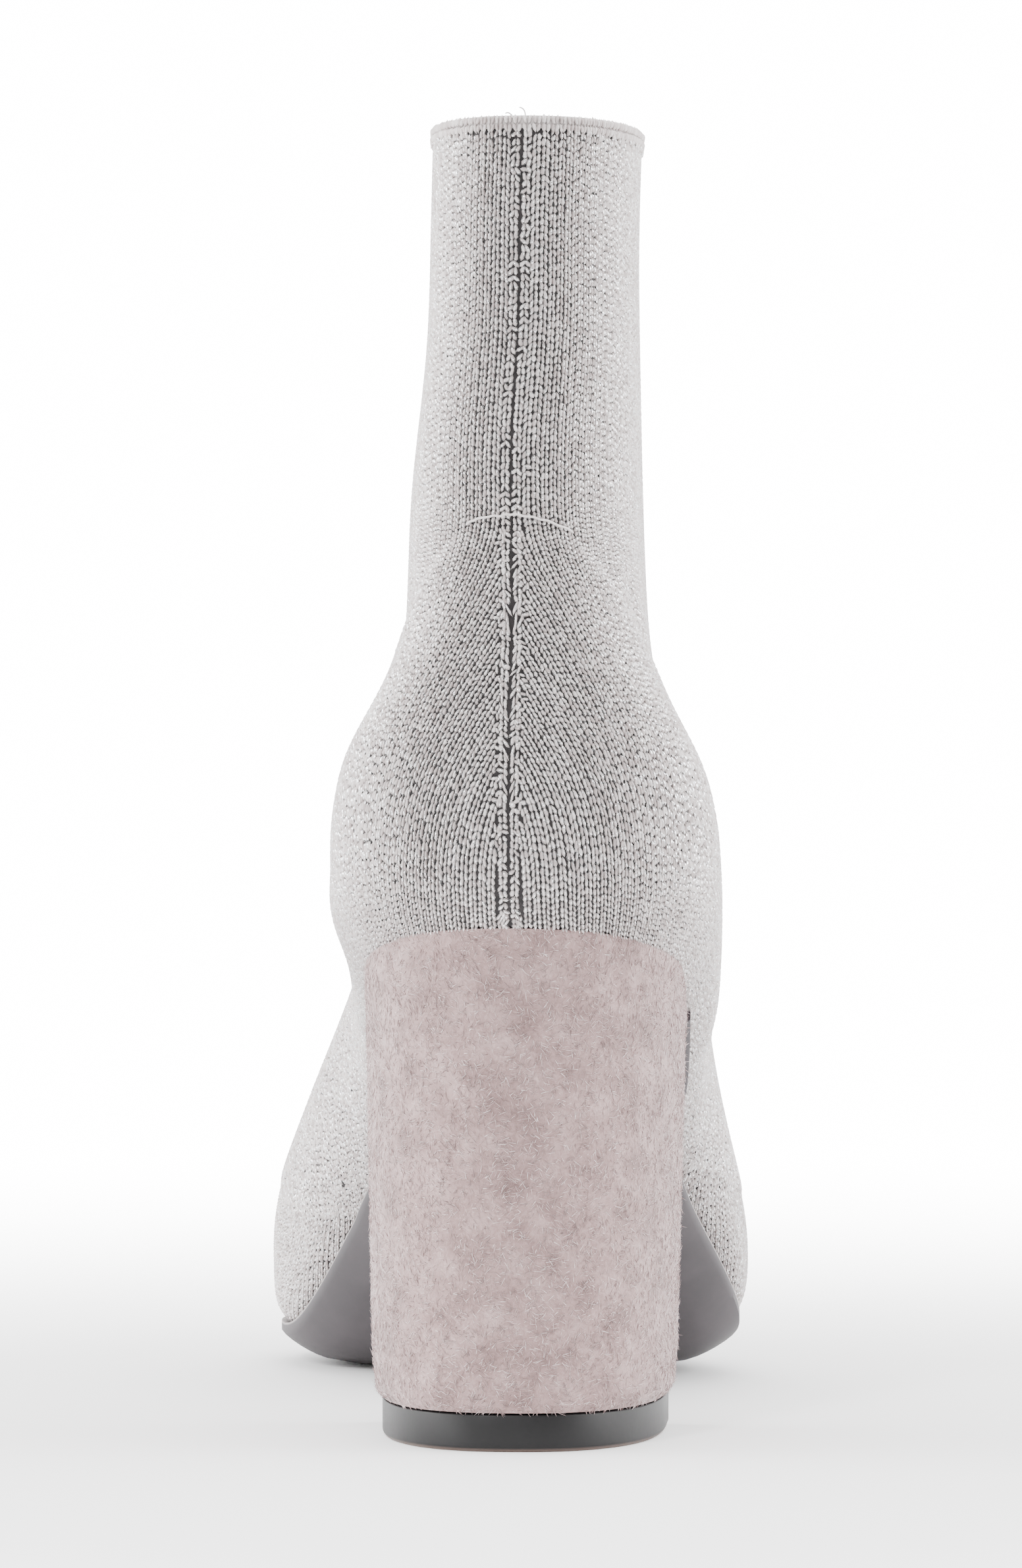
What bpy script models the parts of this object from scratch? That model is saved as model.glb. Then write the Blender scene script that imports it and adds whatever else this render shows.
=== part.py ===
"""Block heel ankle boot for the right foot: a knitted sock upper on a covered block heel.

Five pieces, as a maker puts them together: upper, insole, outsole, heel and top piece.
Units are metres. +Y points to the toe, +X to the outer side of the foot, +Z up. The origin
is on the floor, under the middle of the top piece.

Every piece is a stack of closed loops with the same number of points. A loop starts at the
middle of the back, runs forward on the outer side to the front and returns on the inner side.
"""
import bmesh
import bpy
import numpy as np

# Lengths along the foot, measured forward from the back of the counter
FOOT_LENGTH = 0.240
COLLAR_DEPTH = 0.093
HEEL_DEPTH = 0.056
HEEL_INSET = 0.005

# Widths
BALL_WIDTH = 0.0915
WAIST_WIDTH = 0.064
COUNTER_WIDTH = 0.068
COLLAR_WIDTH = 0.0365
TOE_WIDTH = 0.044
HEEL_WIDTH = 0.057

# Heights
SEAT_HEIGHT = 0.092
COUNTER_HEIGHT = 0.069
INSTEP_HEIGHT = 0.085
COLLAR_HEIGHT = 0.2325
TOE_SPRING = 0.007
ARCH_TILT = 0.003
SOLE_CUP = 0.0035

# The forefoot swings to the inner side
BALL_SWING = 0.0105
TOE_SWING = 0.005

# Thicknesses and steps
WALL = 0.0022
LASTING_THICKNESS = 0.0015
LASTING_WIDTH = 0.009
INSOLE_THICKNESS = 0.002
SOLE_THICKNESS = 0.004
SOLE_EDGE = 0.0012
SOLE_ROUND = 0.0040
TOP_PIECE_THICKNESS = 0.0065
TOP_PIECE_ROUND = 0.0010
HEM_HEIGHT = 0.0032
HEM_STEP = 0.0004
COUNTER_STEP = 0.0007
COUNTER_EDGE_SPREAD = 0.004
TOE_PANEL_STEP = 0.0004
TOE_PANEL_SPREAD = 0.003
JOIN_GAP = 0.0003

# The outsole's side points start this far forward of its rear corners
REAR_MARGIN = 0.004

# Points on one side of a loop, and loops up the outside and the inside of the upper
SIDE_POINTS = 34
OUTER_LOOPS = 27
INNER_LOOPS = 15

# Edges that bend more than this many degrees are drawn sharp
SHARP_BEND = 35

# Stations along the foot, as shares of its length
HEEL_STATION = 0.15
WAIST_STATION = 0.40
BALL_STATION = {"outer": 0.625, "inner": 0.715}
SIDE_FACTORS = {
    "outer": {"waist": 1.05, "toe": 0.96},
    "inner": {"waist": 1.00, "toe": 1.06},
}

# Start and length of the two soft steps that swing the foot's middle line inward
BALL_SWING_SPAN = (0.25, 0.50)
TOE_SWING_SPAN = (0.60, 0.40)

# Sections of the upper from the sole to the collar, one row each, all as shares.
# back, front: ends of the section along FOOT_LENGTH. counter, shaft: how far its back has
# climbed COUNTER_HEIGHT and then the rest to the collar. instep, leg: the same for its front.
# follow: how much it dips with the sole. heel, waist, ball, toe: half-widths as shares of the
# named widths, and collar: what is added of the collar's. round_back, round_front: lengths of
# its rounded ends along FOOT_LENGTH. lean: sideways shift as a share of the collar's width.
# outer: how much narrower the ball is on its outer side.
UPPER_COLUMNS = (
    "back", "counter", "shaft", "front", "instep", "leg", "follow",
    "heel", "waist", "ball", "toe", "collar", "round_back", "round_front", "lean", "outer",
)
UPPER_SECTIONS = (
    (.025, .000, .00, .986, .000, .000, 1.00, .82, .80, 0.93, 0.95, .00, .195, .260, .000, 1.00),
    (.007, .072, .00, .998, .040, .000, 1.00, .94, .90, .985, 1.02, .00, .200, .270, .000, 1.00),
    (.000, .160, .00, .994, .098, .000, 0.95, 1.0, .97, 1.00, 1.00, .00, .208, .270, .000, 1.00),
    (.000, .246, .00, .958, .190, .000, 0.86, 1.0, 1.0, 1.00, 0.95, .00, .208, .280, .000, .975),
    (.002, .348, .00, .883, .322, .000, 0.72, 1.0, 1.0, 0.97, 1.00, .00, .208, .270, .000, .925),
    (.007, .464, .00, .792, .455, .000, 0.55, .98, .96, 0.88, 0.95, .00, .206, .235, .000, .930),
    (.014, .580, .00, .708, .614, .000, 0.40, .92, .88, 0.75, 0.80, .00, .200, .210, .000, .940),
    (.021, .710, .00, .633, .800, .000, 0.27, .74, .80, 0.66, 0.70, .08, .195, .205, .005, .970),
    (.027, .840, .00, .567, 1.00, .000, 0.15, .34, .38, 0.33, 0.35, .60, .193, .200, .005, 1.00),
    (.032, 1.00, .00, .504, 1.00, .115, 0.08, .17, .18, 0.16, 0.18, .83, .192, .197, .000, 1.00),
    (.034, 1.00, .23, .454, 1.00, .274, 0.00, .06, .07, 0.06, 0.06, .99, .192, .193, .000, 1.00),
    (.034, 1.00, .49, .425, 1.00, .527, 0.00, .00, .00, 0.00, 0.00, 1.03, .192, .192, .030, 1.00),
    (.032, 1.00, .74, .418, 1.00, .770, 0.00, .00, .00, 0.00, 0.00, 1.00, .192, .193, .040, 1.00),
    (.030, 1.00, 1.0, .417, 1.00, 1.00, 0.00, .00, .00, 0.00, 0.00, 1.00, .192, .193, .055, 1.00),
)
END_POWER = 2.15

# The shaft climbs from the counter to the collar over this many of the last steps between
# sections. The ledge under the hem and the lowest loop of the lining are levels from 0 to 1.
SHAFT_STEPS = 4
HEM_LEDGE = 0.004
LINING_LEVEL = 0.045

# Height of the seat and waist over the ball, as shares of the seat's height over it
SOLE_CURVE = (
    (0.00, 1.000), (0.05, 0.980), (0.10, 0.950), (0.18, 0.895), (0.25, 0.815), (0.32, 0.690),
    (0.42, 0.465), (0.52, 0.235), (0.60, 0.075), (0.65, 0.015), (0.69, 0.000), (0.75, 0.000),
)
BALL_START = 0.69
SPRING_STATION = 0.79

# Stations between which the arch is tilted, and the length over which the tilt comes and goes
ARCH_START = 0.22
ARCH_END = 0.66
ARCH_FADE = 0.20

# The cup starts at this share of the width, and comes in over a length behind the ball
CUP_START = 0.60
CUP_STATION = 0.30
CUP_FADE = 0.25

# Sections of the heel from the top piece to the seat: height, width, inset and depth as
# shares of the named sizes, and how blunt the rounded back is.
HEEL_COLUMNS = ("level", "width", "inset", "depth", "power")
HEEL_SECTIONS = (
    (0.00, 0.890, 1.40, 0.893, 2.4),
    (0.02, 0.925, 1.20, 0.905, 2.4),
    (0.10, 0.945, 1.10, 0.915, 2.35),
    (0.45, 0.965, 1.05, 0.940, 2.25),
    (0.80, 0.985, 1.00, 0.975, 2.1),
    (1.00, 1.000, 1.00, 1.000, 2.0),
)
HEEL_ROUND = 0.042

# The points of a heel section crowd towards its rounded back by this power
HEEL_CROWD = 1.8

# The origin lies this far forward of the back of the counter, over the middle of the top piece
ORIGIN = HEEL_INSET * HEEL_SECTIONS[0][2] + HEEL_DEPTH * HEEL_SECTIONS[0][3] / 2

# Top edge of the stiff counter, which shows through the knit: station and height as shares of
# FOOT_LENGTH and of COUNTER_HEIGHT over the seat
COUNTER_EDGE = (
    (0.00, 1.00), (0.04, 0.98), (0.08, 0.89), (0.12, 0.78), (0.17, 0.66), (0.25, 0.45), (0.36, 0.10),
)
COUNTER_EDGE_FADE = 0.03

# Seam between the leg and the toe panel: the station where it leaves the sole on each side,
# its station on the ridge of the foot, and its height there as a share of INSTEP_HEIGHT. The
# line runs on past both ends by the shares of its climb in PANEL_SEAM_ENDS.
PANEL_SEAM_FOOT = {"outer": 0.42, "inner": 0.50}
PANEL_SEAM_RIDGE = 0.76
PANEL_SEAM_CLIMB = 0.5
PANEL_SEAM_ENDS = (-1.0, 1.5)

# Edge of the outsole from below: how far inward in parts of SOLE_ROUND and of SOLE_EDGE, and
# how far down as a share of the thickness
SOLE_PROFILE_COLUMNS = ("round", "edge", "drop")
SOLE_PROFILE = (
    (0.5, 0.0, 0.90),
    (0.3, -1.0, 0.72),
    (0.0, -1.0, 0.50),
    (0.0, -1.0, 0.00),
)

# Edge of the top piece from below, in parts of TOP_PIECE_ROUND: how far inward and how high
TOP_PIECE_PROFILE = ((1.0, 0.0), (0.3, 0.3), (0.0, 1.0))


def ease(share):
    """A soft step from 0 to 1: three squares less two cubes of the share."""
    share = np.clip(share, 0.0, 1.0)
    return share * share * (3.0 - 2.0 * share)


def rounded(distance, length, power=END_POWER):
    """Width near a rounded end: a superellipse quarter as long as the rounding."""
    rest = 1.0 - np.clip(distance / length, 0.0, 1.0)
    return (1.0 - rest ** power) ** (1.0 / power)


def spline(knots, values, at):
    """Natural cubic spline through the knots, read at the given places."""
    knots = np.asarray(knots, float)
    values = np.asarray(values, float)
    count = len(knots)
    gaps = np.diff(knots)
    matrix = np.eye(count)
    right = np.zeros(count)
    for row in range(1, count - 1):
        matrix[row, row - 1:row + 2] = gaps[row - 1], 2 * (gaps[row - 1] + gaps[row]), gaps[row]
        slopes = np.diff(values[row - 1:row + 2]) / gaps[row - 1:row + 1]
        right[row] = 6 * (slopes[1] - slopes[0])
    bends = np.linalg.solve(matrix, right)
    at = np.clip(np.asarray(at, float), knots[0], knots[-1])
    left = np.clip(np.searchsorted(knots, at, side="right") - 1, 0, count - 2)
    gap = gaps[left]
    before = (knots[left + 1] - at) / gap
    after = (at - knots[left]) / gap
    cubic = (before ** 3 - before) * bends[left] + (after ** 3 - after) * bends[left + 1]
    return before * values[left] + after * values[left + 1] + cubic * gap ** 2 / 6


def centre_line(station):
    """Sideways place of the middle of the foot: straight at the heel, inward at the toe."""
    share = station / FOOT_LENGTH
    ball = ease((share - BALL_SWING_SPAN[0]) / BALL_SWING_SPAN[1])
    toe = ease((share - TOE_SWING_SPAN[0]) / TOE_SWING_SPAN[1])
    return -BALL_SWING * ball - TOE_SWING * toe


def sole_height(station, across, spread=1.0):
    """Height of the last's bottom: the seat, the waist, the flat ball and the toe spring.

    The waist is tilted a little, so that the arch is higher on its inner side. The forefoot
    is cupped: it rises towards its edge, where the spread from the centre line is 1.
    """
    share = station / FOOT_LENGTH
    stations, shares = zip(*SOLE_CURVE)
    seat = np.where(share < BALL_START, np.maximum(spline(stations, shares, share), 0.0), 0.0)
    spring = ease((share - SPRING_STATION) / (1.0 - SPRING_STATION) / 2) * 2
    arch = ease((share - ARCH_START) / ARCH_FADE) * ease((ARCH_END - share) / ARCH_FADE)
    tilt = -arch * ARCH_TILT * (across - centre_line(station)) / WAIST_WIDTH
    rim = np.maximum((spread - CUP_START) / (1.0 - CUP_START), 0.0) ** 2
    cup = SOLE_CUP * rim * ease((share - CUP_STATION) / CUP_FADE)
    return SOLE_THICKNESS + (SEAT_HEIGHT - SOLE_THICKNESS) * seat + TOE_SPRING * spring + tilt + cup


def section_values(level):
    """The columns of UPPER_SECTIONS at a level from 0 at the sole to 1 at the collar."""
    levels = np.linspace(0.0, 1.0, len(UPPER_SECTIONS))
    table = np.array(UPPER_SECTIONS)
    return {name: spline(levels, table[:, column], level) for column, name in enumerate(UPPER_COLUMNS)}


def half_width(section, station, side):
    """Half-width of a section: heel, waist, ball and toe widths joined by soft steps."""
    share = station / FOOT_LENGTH
    factors = SIDE_FACTORS[side]
    ball_station = BALL_STATION[side]
    heel = section["heel"] * COUNTER_WIDTH / 2
    waist = section["waist"] * factors["waist"] * WAIST_WIDTH / 2
    ball = section["ball"] * (section["outer"] if side == "outer" else 1.0) * BALL_WIDTH / 2
    toe = section["toe"] * factors["toe"] * TOE_WIDTH / 2
    width = heel + (waist - heel) * ease((share - HEEL_STATION) / (WAIST_STATION - HEEL_STATION))
    width = width + (ball - waist) * ease((share - WAIST_STATION) / (ball_station - WAIST_STATION))
    width = width + (toe - ball) * ease((share - ball_station) / (1.0 - ball_station))
    return width + section["collar"] * COLLAR_WIDTH / 2


def upper_side(level, along, side):
    """Outer face of the upper on one side.

    Each section runs from its back to its front in a tilted line that dips with the sole, and
    swells to its half-width between two rounded ends.
    """
    section = section_values(level)
    back = section["back"] * FOOT_LENGTH
    collar_front = UPPER_SECTIONS[-1][UPPER_COLUMNS.index("front")] * FOOT_LENGTH
    depth_change = COLLAR_DEPTH - (collar_front - UPPER_SECTIONS[-1][0] * FOOT_LENGTH)
    front = section["front"] * FOOT_LENGTH + depth_change * section["leg"]
    place = (1.0 - np.cos(np.pi * along)) / 2
    station = back + (front - back) * place
    width = half_width(section, station, side)
    width = width * rounded(station - back, section["round_back"] * FOOT_LENGTH)
    width = width * rounded(front - station, section["round_front"] * FOOT_LENGTH)
    sign = 1.0 if side == "outer" else -1.0
    across = centre_line(station) + sign * width + section["lean"] * COLLAR_WIDTH
    floor_back = sole_height(back, centre_line(back)) + JOIN_GAP
    floor_front = sole_height(front, centre_line(front)) + JOIN_GAP
    top_back = floor_back + section["counter"] * COUNTER_HEIGHT
    top_back = top_back + section["shaft"] * (COLLAR_HEIGHT - floor_back - COUNTER_HEIGHT)
    top_front = floor_front + section["instep"] * INSTEP_HEIGHT
    top_front = top_front + section["leg"] * (COLLAR_HEIGHT - floor_front - INSTEP_HEIGHT)
    start = top_back - section["follow"] * floor_back
    end = top_front - section["follow"] * floor_front
    dip = section["follow"] * (sole_height(station, across) + JOIN_GAP)
    height = start + (end - start) * place + dip
    return np.stack(np.broadcast_arrays(across, station, height), axis=-1)


def loop_places():
    """How far along its side each point of a loop lies, from 0 at the back to 1 at the front."""
    return np.linspace(0.0, 1.0, SIDE_POINTS + 1)


def join_sides(outer, inner):
    """One closed loop from the points of its two sides, which share their ends."""
    return np.concatenate([outer, inner[..., -2:0:-1, :]], axis=-2)


def upper_loops(levels):
    """Loops of the upper's outer face at the given levels, without its raised steps."""
    level = np.asarray(levels, float)[:, None]
    along = loop_places()[None, :]
    return join_sides(upper_side(level, along, "outer"), upper_side(level, along, "inner"))


def outward_normals(loops):
    """Unit normals of a stack of closed loops, from the differences between neighbours."""
    around = np.roll(loops, -1, axis=1) - np.roll(loops, 1, axis=1)
    upward = np.gradient(loops, axis=0)
    normals = np.cross(around, upward)
    return normals / np.linalg.norm(normals, axis=-1, keepdims=True)


def seam_height(station, outer):
    """Height of the toe panel's seam over the sole, from its foot to the ridge."""
    share = station / FOOT_LENGTH
    foot = np.where(outer, PANEL_SEAM_FOOT["outer"], PANEL_SEAM_FOOT["inner"])
    climb = np.clip((share - foot) / (PANEL_SEAM_RIDGE - foot), *PANEL_SEAM_ENDS)
    return PANEL_SEAM_CLIMB * INSTEP_HEIGHT * climb


def raised_steps(points):
    """How far the knit stands out: over the stiff counter, and at the leg beside the toe panel."""
    across, station, height = points[..., 0], points[..., 1], points[..., 2]
    stations, shares = zip(*COUNTER_EDGE)
    edge = SEAT_HEIGHT + COUNTER_HEIGHT * spline(stations, shares, station / FOOT_LENGTH)
    over_counter = ease((edge - height) / COUNTER_EDGE_SPREAD + 0.5)
    over_counter = over_counter * ease((COUNTER_EDGE[-1][0] - station / FOOT_LENGTH) / COUNTER_EDGE_FADE)
    outer = across > centre_line(station)
    seam = sole_height(station, across) + seam_height(station, outer)
    behind_seam = ease((height - seam) / TOE_PANEL_SPREAD + 0.5)
    return COUNTER_STEP * over_counter + TOE_PANEL_STEP * (behind_seam - 1.0)


def drawn_spread(inward):
    """How wide a loop stays when it is drawn inward, as a share of the upper's lower edge."""
    edge_width = COUNTER_WIDTH * UPPER_SECTIONS[0][UPPER_COLUMNS.index("heel")]
    return 1 - inward / (edge_width / 2)


def drawn_loop(inward, lift):
    """The upper's lower edge drawn inward over the last's bottom, and lifted off it."""
    flat = upper_loops([0.0])[0]
    spread = drawn_spread(inward)
    middle = (flat[:, 1].min() + flat[:, 1].max()) / 2
    half_length = (flat[:, 1].max() - flat[:, 1].min()) / 2
    loop = flat.copy()
    loop[:, 1] = middle + (flat[:, 1] - middle) * (1 - inward / half_length)
    loop[:, 0] = centre_line(loop[:, 1]) + (flat[:, 0] - centre_line(flat[:, 1])) * spread
    loop[:, 2] = sole_height(loop[:, 1], loop[:, 0], spread) + lift
    return loop


def mesh_object(name, vertices, faces, material):
    """An object from points given by station, moved so that the origin is under the heel."""
    vertices = np.array(vertices)
    vertices[:, 1] -= ORIGIN
    mesh = bpy.data.meshes.new(name)
    mesh.from_pydata(vertices.tolist(), [], faces)
    work = bmesh.new()
    work.from_mesh(mesh)
    bmesh.ops.remove_doubles(work, verts=work.verts, dist=1e-6)
    bmesh.ops.recalc_face_normals(work, faces=work.faces)
    work.to_mesh(mesh)
    work.free()
    mesh.shade_smooth()
    mesh.set_sharp_from_angle(angle=np.radians(SHARP_BEND))
    mesh.materials.append(material)
    new_object = bpy.data.objects.new(name, mesh)
    bpy.context.scene.collection.objects.link(new_object)
    return new_object


def bridged_faces(rows, count, closed):
    """Quads between each loop and the next, and from the last to the first when closed."""
    faces = []
    for row in range(rows if closed else rows - 1):
        below = row * count
        above = (row + 1) % rows * count
        for point in range(count):
            after = (point + 1) % count
            faces.append((below + point, below + after, above + after, above + point))
    return faces


def cap_faces(start, count, upward):
    """Strips across a loop, each from a point to its partner on the other side."""
    half = count // 2
    faces = [(start, start + 1, start + count - 1)]
    for point in range(1, half - 1):
        partner = count - point
        faces.append((start + point, start + point + 1, start + partner - 1, start + partner))
    faces.append((start + half - 1, start + half, start + half + 1))
    return faces if upward else [face[::-1] for face in faces]


def stacked_solid(name, loops, material):
    """A solid from a stack of loops, closed by strips at its bottom and top."""
    loops = np.asarray(loops)
    rows, count = loops.shape[:2]
    faces = bridged_faces(rows, count, closed=False)
    faces += cap_faces(0, count, upward=False)
    faces += cap_faces((rows - 1) * count, count, upward=True)
    return mesh_object(name, loops.reshape(-1, 3), faces, material)


def build_upper(material):
    """The knitted sock: a hollow wall, open at the collar, with a margin lasted underneath."""
    shaft_height = COLLAR_HEIGHT - SEAT_HEIGHT - COUNTER_HEIGHT
    shaft_levels = SHAFT_STEPS / (len(UPPER_SECTIONS) - 1)
    hem_level = 1.0 - HEM_HEIGHT / shaft_height * shaft_levels
    climb = np.linspace(0.0, hem_level - HEM_LEDGE, OUTER_LOOPS)
    levels = np.concatenate([climb, [hem_level, 1.0]])
    base = upper_loops(levels)
    normals = outward_normals(base)
    steps = raised_steps(base)
    steps[-2:] += HEM_STEP
    outside = base + normals * steps[..., None]
    outside[0] = drawn_loop(0.0, JOIN_GAP)
    inner_base = upper_loops(np.linspace(LINING_LEVEL, 1.0, INNER_LOOPS))
    inside = (inner_base - outward_normals(inner_base) * WALL)[::-1]
    inside[0, :, 2] = COLLAR_HEIGHT
    margin_top = JOIN_GAP + LASTING_THICKNESS
    margin = [drawn_loop(inward, margin_top) for inward in (WALL, LASTING_WIDTH / 2, LASTING_WIDTH)]
    margin += [drawn_loop(inward, JOIN_GAP) for inward in (LASTING_WIDTH, LASTING_WIDTH / 2)]
    loops = np.concatenate([outside, inside, margin])
    faces = bridged_faces(len(loops), loops.shape[1], closed=True)
    return mesh_object("upper", loops.reshape(-1, 3), faces, material)


def build_insole(material):
    """A thin board on the lasted margin, inside the wall."""
    under = 2 * JOIN_GAP + LASTING_THICKNESS
    inward = (LASTING_WIDTH, LASTING_WIDTH / 2, WALL + JOIN_GAP)
    loops = [drawn_loop(place, under) for place in inward]
    loops += [drawn_loop(place, under + INSOLE_THICKNESS) for place in inward[::-1]]
    return stacked_solid("insole", loops, material)


def breast_station():
    """Station of the top of the heel's front face."""
    return HEEL_INSET + HEEL_DEPTH


def sole_loop(inward, drop):
    """A loop of the outsole: the drawn lower edge, cut straight across at the heel's front."""
    rear = breast_station() + JOIN_GAP
    whole = drawn_loop(inward, 0.0)
    first = np.argmax(drawn_loop(-SOLE_EDGE, 0.0)[:SIDE_POINTS + 1, 1] > rear + REAR_MARGIN)
    sides = []
    for side in (whole[:SIDE_POINTS + 1], np.concatenate([whole[:1], whole[:SIDE_POINTS - 1:-1]])):
        corner = np.interp(rear, side[:, 1], side[:, 0])
        start = np.array([[centre_line(rear), rear, 0.0], [corner, rear, 0.0]])
        start[:, 2] = sole_height(start[:, 1], start[:, 0], drawn_spread(inward))
        sides.append(np.concatenate([start, side[first:]]))
    loop = join_sides(sides[0], sides[1])
    loop[:, 2] -= drop
    return loop


def build_outsole(material):
    """The outsole from the heel's front face to the toe, with its lower edge rounded."""
    flat_places = (LASTING_WIDTH, LASTING_WIDTH / 2)
    under = [sole_loop(inward, SOLE_THICKNESS) for inward in flat_places]
    edge = []
    for values in SOLE_PROFILE:
        row = dict(zip(SOLE_PROFILE_COLUMNS, values))
        inward = row["round"] * SOLE_ROUND + row["edge"] * SOLE_EDGE
        edge.append(sole_loop(inward, row["drop"] * SOLE_THICKNESS))
    top = [sole_loop(inward, 0.0) for inward in (0.0, *flat_places[::-1])]
    return stacked_solid("outsole", under + edge + top, material)


def heel_side(row, sign):
    """One side of a heel section: rounded at the back, straight to the flat front face."""
    inset = row["inset"] * HEEL_INSET
    depth = row["depth"] * HEEL_DEPTH
    place = np.linspace(0.0, 1.0, SIDE_POINTS // 2 + 1) ** HEEL_CROWD
    distance = place * depth
    across = sign * row["width"] * HEEL_WIDTH / 2 * rounded(distance, HEEL_ROUND, row["power"])
    front = np.array([[0.0, inset + depth, 0.0]])
    side = np.stack([across, inset + distance, np.zeros_like(distance)], axis=-1)
    return np.concatenate([side, front])


def heel_loop(level):
    """Plan of the heel at a level from 0 at its foot to 1 at the seat."""
    table = np.array(HEEL_SECTIONS)
    row = {name: np.interp(level, table[:, 0], table[:, column]) for column, name in enumerate(HEEL_COLUMNS)}
    return join_sides(heel_side(row, 1.0), heel_side(row, -1.0))


def build_heel(material):
    """The covered block: its foot is flat, and its seat follows the last's bottom."""
    foot = TOP_PIECE_THICKNESS + JOIN_GAP
    loops = []
    for level in [row[0] for row in HEEL_SECTIONS]:
        loop = heel_loop(level)
        seat = sole_height(loop[:, 1], loop[:, 0])
        loop[:, 2] = foot + level * (seat - foot)
        loops.append(loop)
    return stacked_solid("heel", loops, material)


def build_top_piece(material):
    """The hard plate under the heel, with its lower edge rounded."""
    plan = heel_loop(0.0)
    centre = plan[:, :2].mean(axis=0)
    loops = []
    for inward, height in TOP_PIECE_PROFILE:
        loop = plan.copy()
        shrink = 1 - inward * TOP_PIECE_ROUND / (HEEL_WIDTH / 2)
        loop[:, :2] = centre + (plan[:, :2] - centre) * shrink
        loop[:, 2] = height * TOP_PIECE_ROUND
        loops.append(loop)
    lid = plan.copy()
    lid[:, 2] = TOP_PIECE_THICKNESS
    return stacked_solid("top_piece", [*loops, lid], material)


def plain_material(name, colour, roughness):
    """A Principled material with one colour, given in linear light."""
    material = bpy.data.materials.new(name)
    material.use_nodes = True
    shader = material.node_tree.nodes["Principled BSDF"]
    shader.inputs["Base Color"].default_value = (*colour, 1.0)
    shader.inputs["Roughness"].default_value = roughness
    shader.inputs["Metallic"].default_value = 0.0
    return material


def main():
    for old in list(bpy.data.objects):
        bpy.data.objects.remove(old)
    build_upper(plain_material("knitted_yarn", (0.60, 0.55, 0.54), 0.75))
    build_insole(plain_material("insole_board", (0.50, 0.44, 0.40), 0.80))
    build_outsole(plain_material("outsole_rubber", (0.14, 0.12, 0.12), 0.60))
    build_heel(plain_material("heel_suede", (0.52, 0.42, 0.41), 0.95))
    build_top_piece(plain_material("top_piece_rubber", (0.045, 0.040, 0.045), 0.45))


main()
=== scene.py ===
"""Block heel ankle boot for the right foot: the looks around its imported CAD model.

The knitted upper is rebuilt as a smooth cloth with every stitch on it as real geometry. The
heel, its top piece, the outsole and the insole keep their CAD shapes and get their finishes.
Units are metres. +Y points to the toe, +X to the outer side of the foot, +Z up. Lengths along
the foot, called stations, are measured from the back of the counter.
"""

import bmesh
import bpy
import numpy as np
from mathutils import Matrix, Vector


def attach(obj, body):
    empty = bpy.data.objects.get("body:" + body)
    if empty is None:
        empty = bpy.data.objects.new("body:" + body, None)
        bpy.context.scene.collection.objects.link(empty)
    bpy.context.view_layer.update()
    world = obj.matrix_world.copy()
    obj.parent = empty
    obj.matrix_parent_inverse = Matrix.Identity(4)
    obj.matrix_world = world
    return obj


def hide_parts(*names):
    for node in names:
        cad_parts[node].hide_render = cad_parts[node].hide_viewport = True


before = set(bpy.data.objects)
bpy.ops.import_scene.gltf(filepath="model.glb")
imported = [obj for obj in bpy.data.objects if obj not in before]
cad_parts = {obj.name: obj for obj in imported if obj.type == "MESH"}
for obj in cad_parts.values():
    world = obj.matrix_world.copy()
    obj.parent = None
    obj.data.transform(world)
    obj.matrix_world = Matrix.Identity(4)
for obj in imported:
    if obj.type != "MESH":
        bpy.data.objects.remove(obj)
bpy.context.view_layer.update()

# The last and the upper, in the sizes of the CAD model
FOOT_LENGTH = 0.240
COLLAR_DEPTH = 0.093
HEEL_DEPTH = 0.056
HEEL_INSET = 0.005
BALL_WIDTH = 0.0915
WAIST_WIDTH = 0.064
COUNTER_WIDTH = 0.068
COLLAR_WIDTH = 0.0365
TOE_WIDTH = 0.044
SEAT_HEIGHT = 0.092
COUNTER_HEIGHT = 0.069
INSTEP_HEIGHT = 0.085
COLLAR_HEIGHT = 0.2325
TOE_SPRING = 0.007
ARCH_TILT = 0.003
SOLE_CUP = 0.0035
BALL_SWING = 0.0105
TOE_SWING = 0.005
WALL = 0.0022
LASTING_THICKNESS = 0.0015
LASTING_WIDTH = 0.009
SOLE_THICKNESS = 0.004
HEM_HEIGHT = 0.0032
HEM_STEP = 0.0004
COUNTER_STEP = 0.0007
COUNTER_EDGE_SPREAD = 0.004
TOE_PANEL_STEP = 0.0004
TOE_PANEL_SPREAD = 0.003
JOIN_GAP = 0.0003
SOLE_EDGE = 0.0012
TOP_PIECE_THICKNESS = 0.0065
TOP_PIECE_ROUND = 0.0010
HEEL_WIDTH = 0.057
HEEL_ROUND = 0.042

# Sections of the heel from its foot to the seat: level, width, inset, depth and bluntness
HEEL_SECTIONS = np.array((
    (0.00, 0.890, 1.40, 0.893, 2.4),
    (0.02, 0.925, 1.20, 0.905, 2.4),
    (0.10, 0.945, 1.10, 0.915, 2.35),
    (0.45, 0.965, 1.05, 0.940, 2.25),
    (0.80, 0.985, 1.00, 0.975, 2.1),
    (1.00, 1.000, 1.00, 1.000, 2.0),
))
ORIGIN = HEEL_INSET * HEEL_SECTIONS[0, 2] + HEEL_DEPTH * HEEL_SECTIONS[0, 3] / 2

HEEL_STATION = 0.15
WAIST_STATION = 0.40
BALL_STATION = {"outer": 0.625, "inner": 0.715}
SIDE_FACTORS = {
    "outer": {"waist": 1.05, "toe": 0.96},
    "inner": {"waist": 1.00, "toe": 1.06},
}

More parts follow.
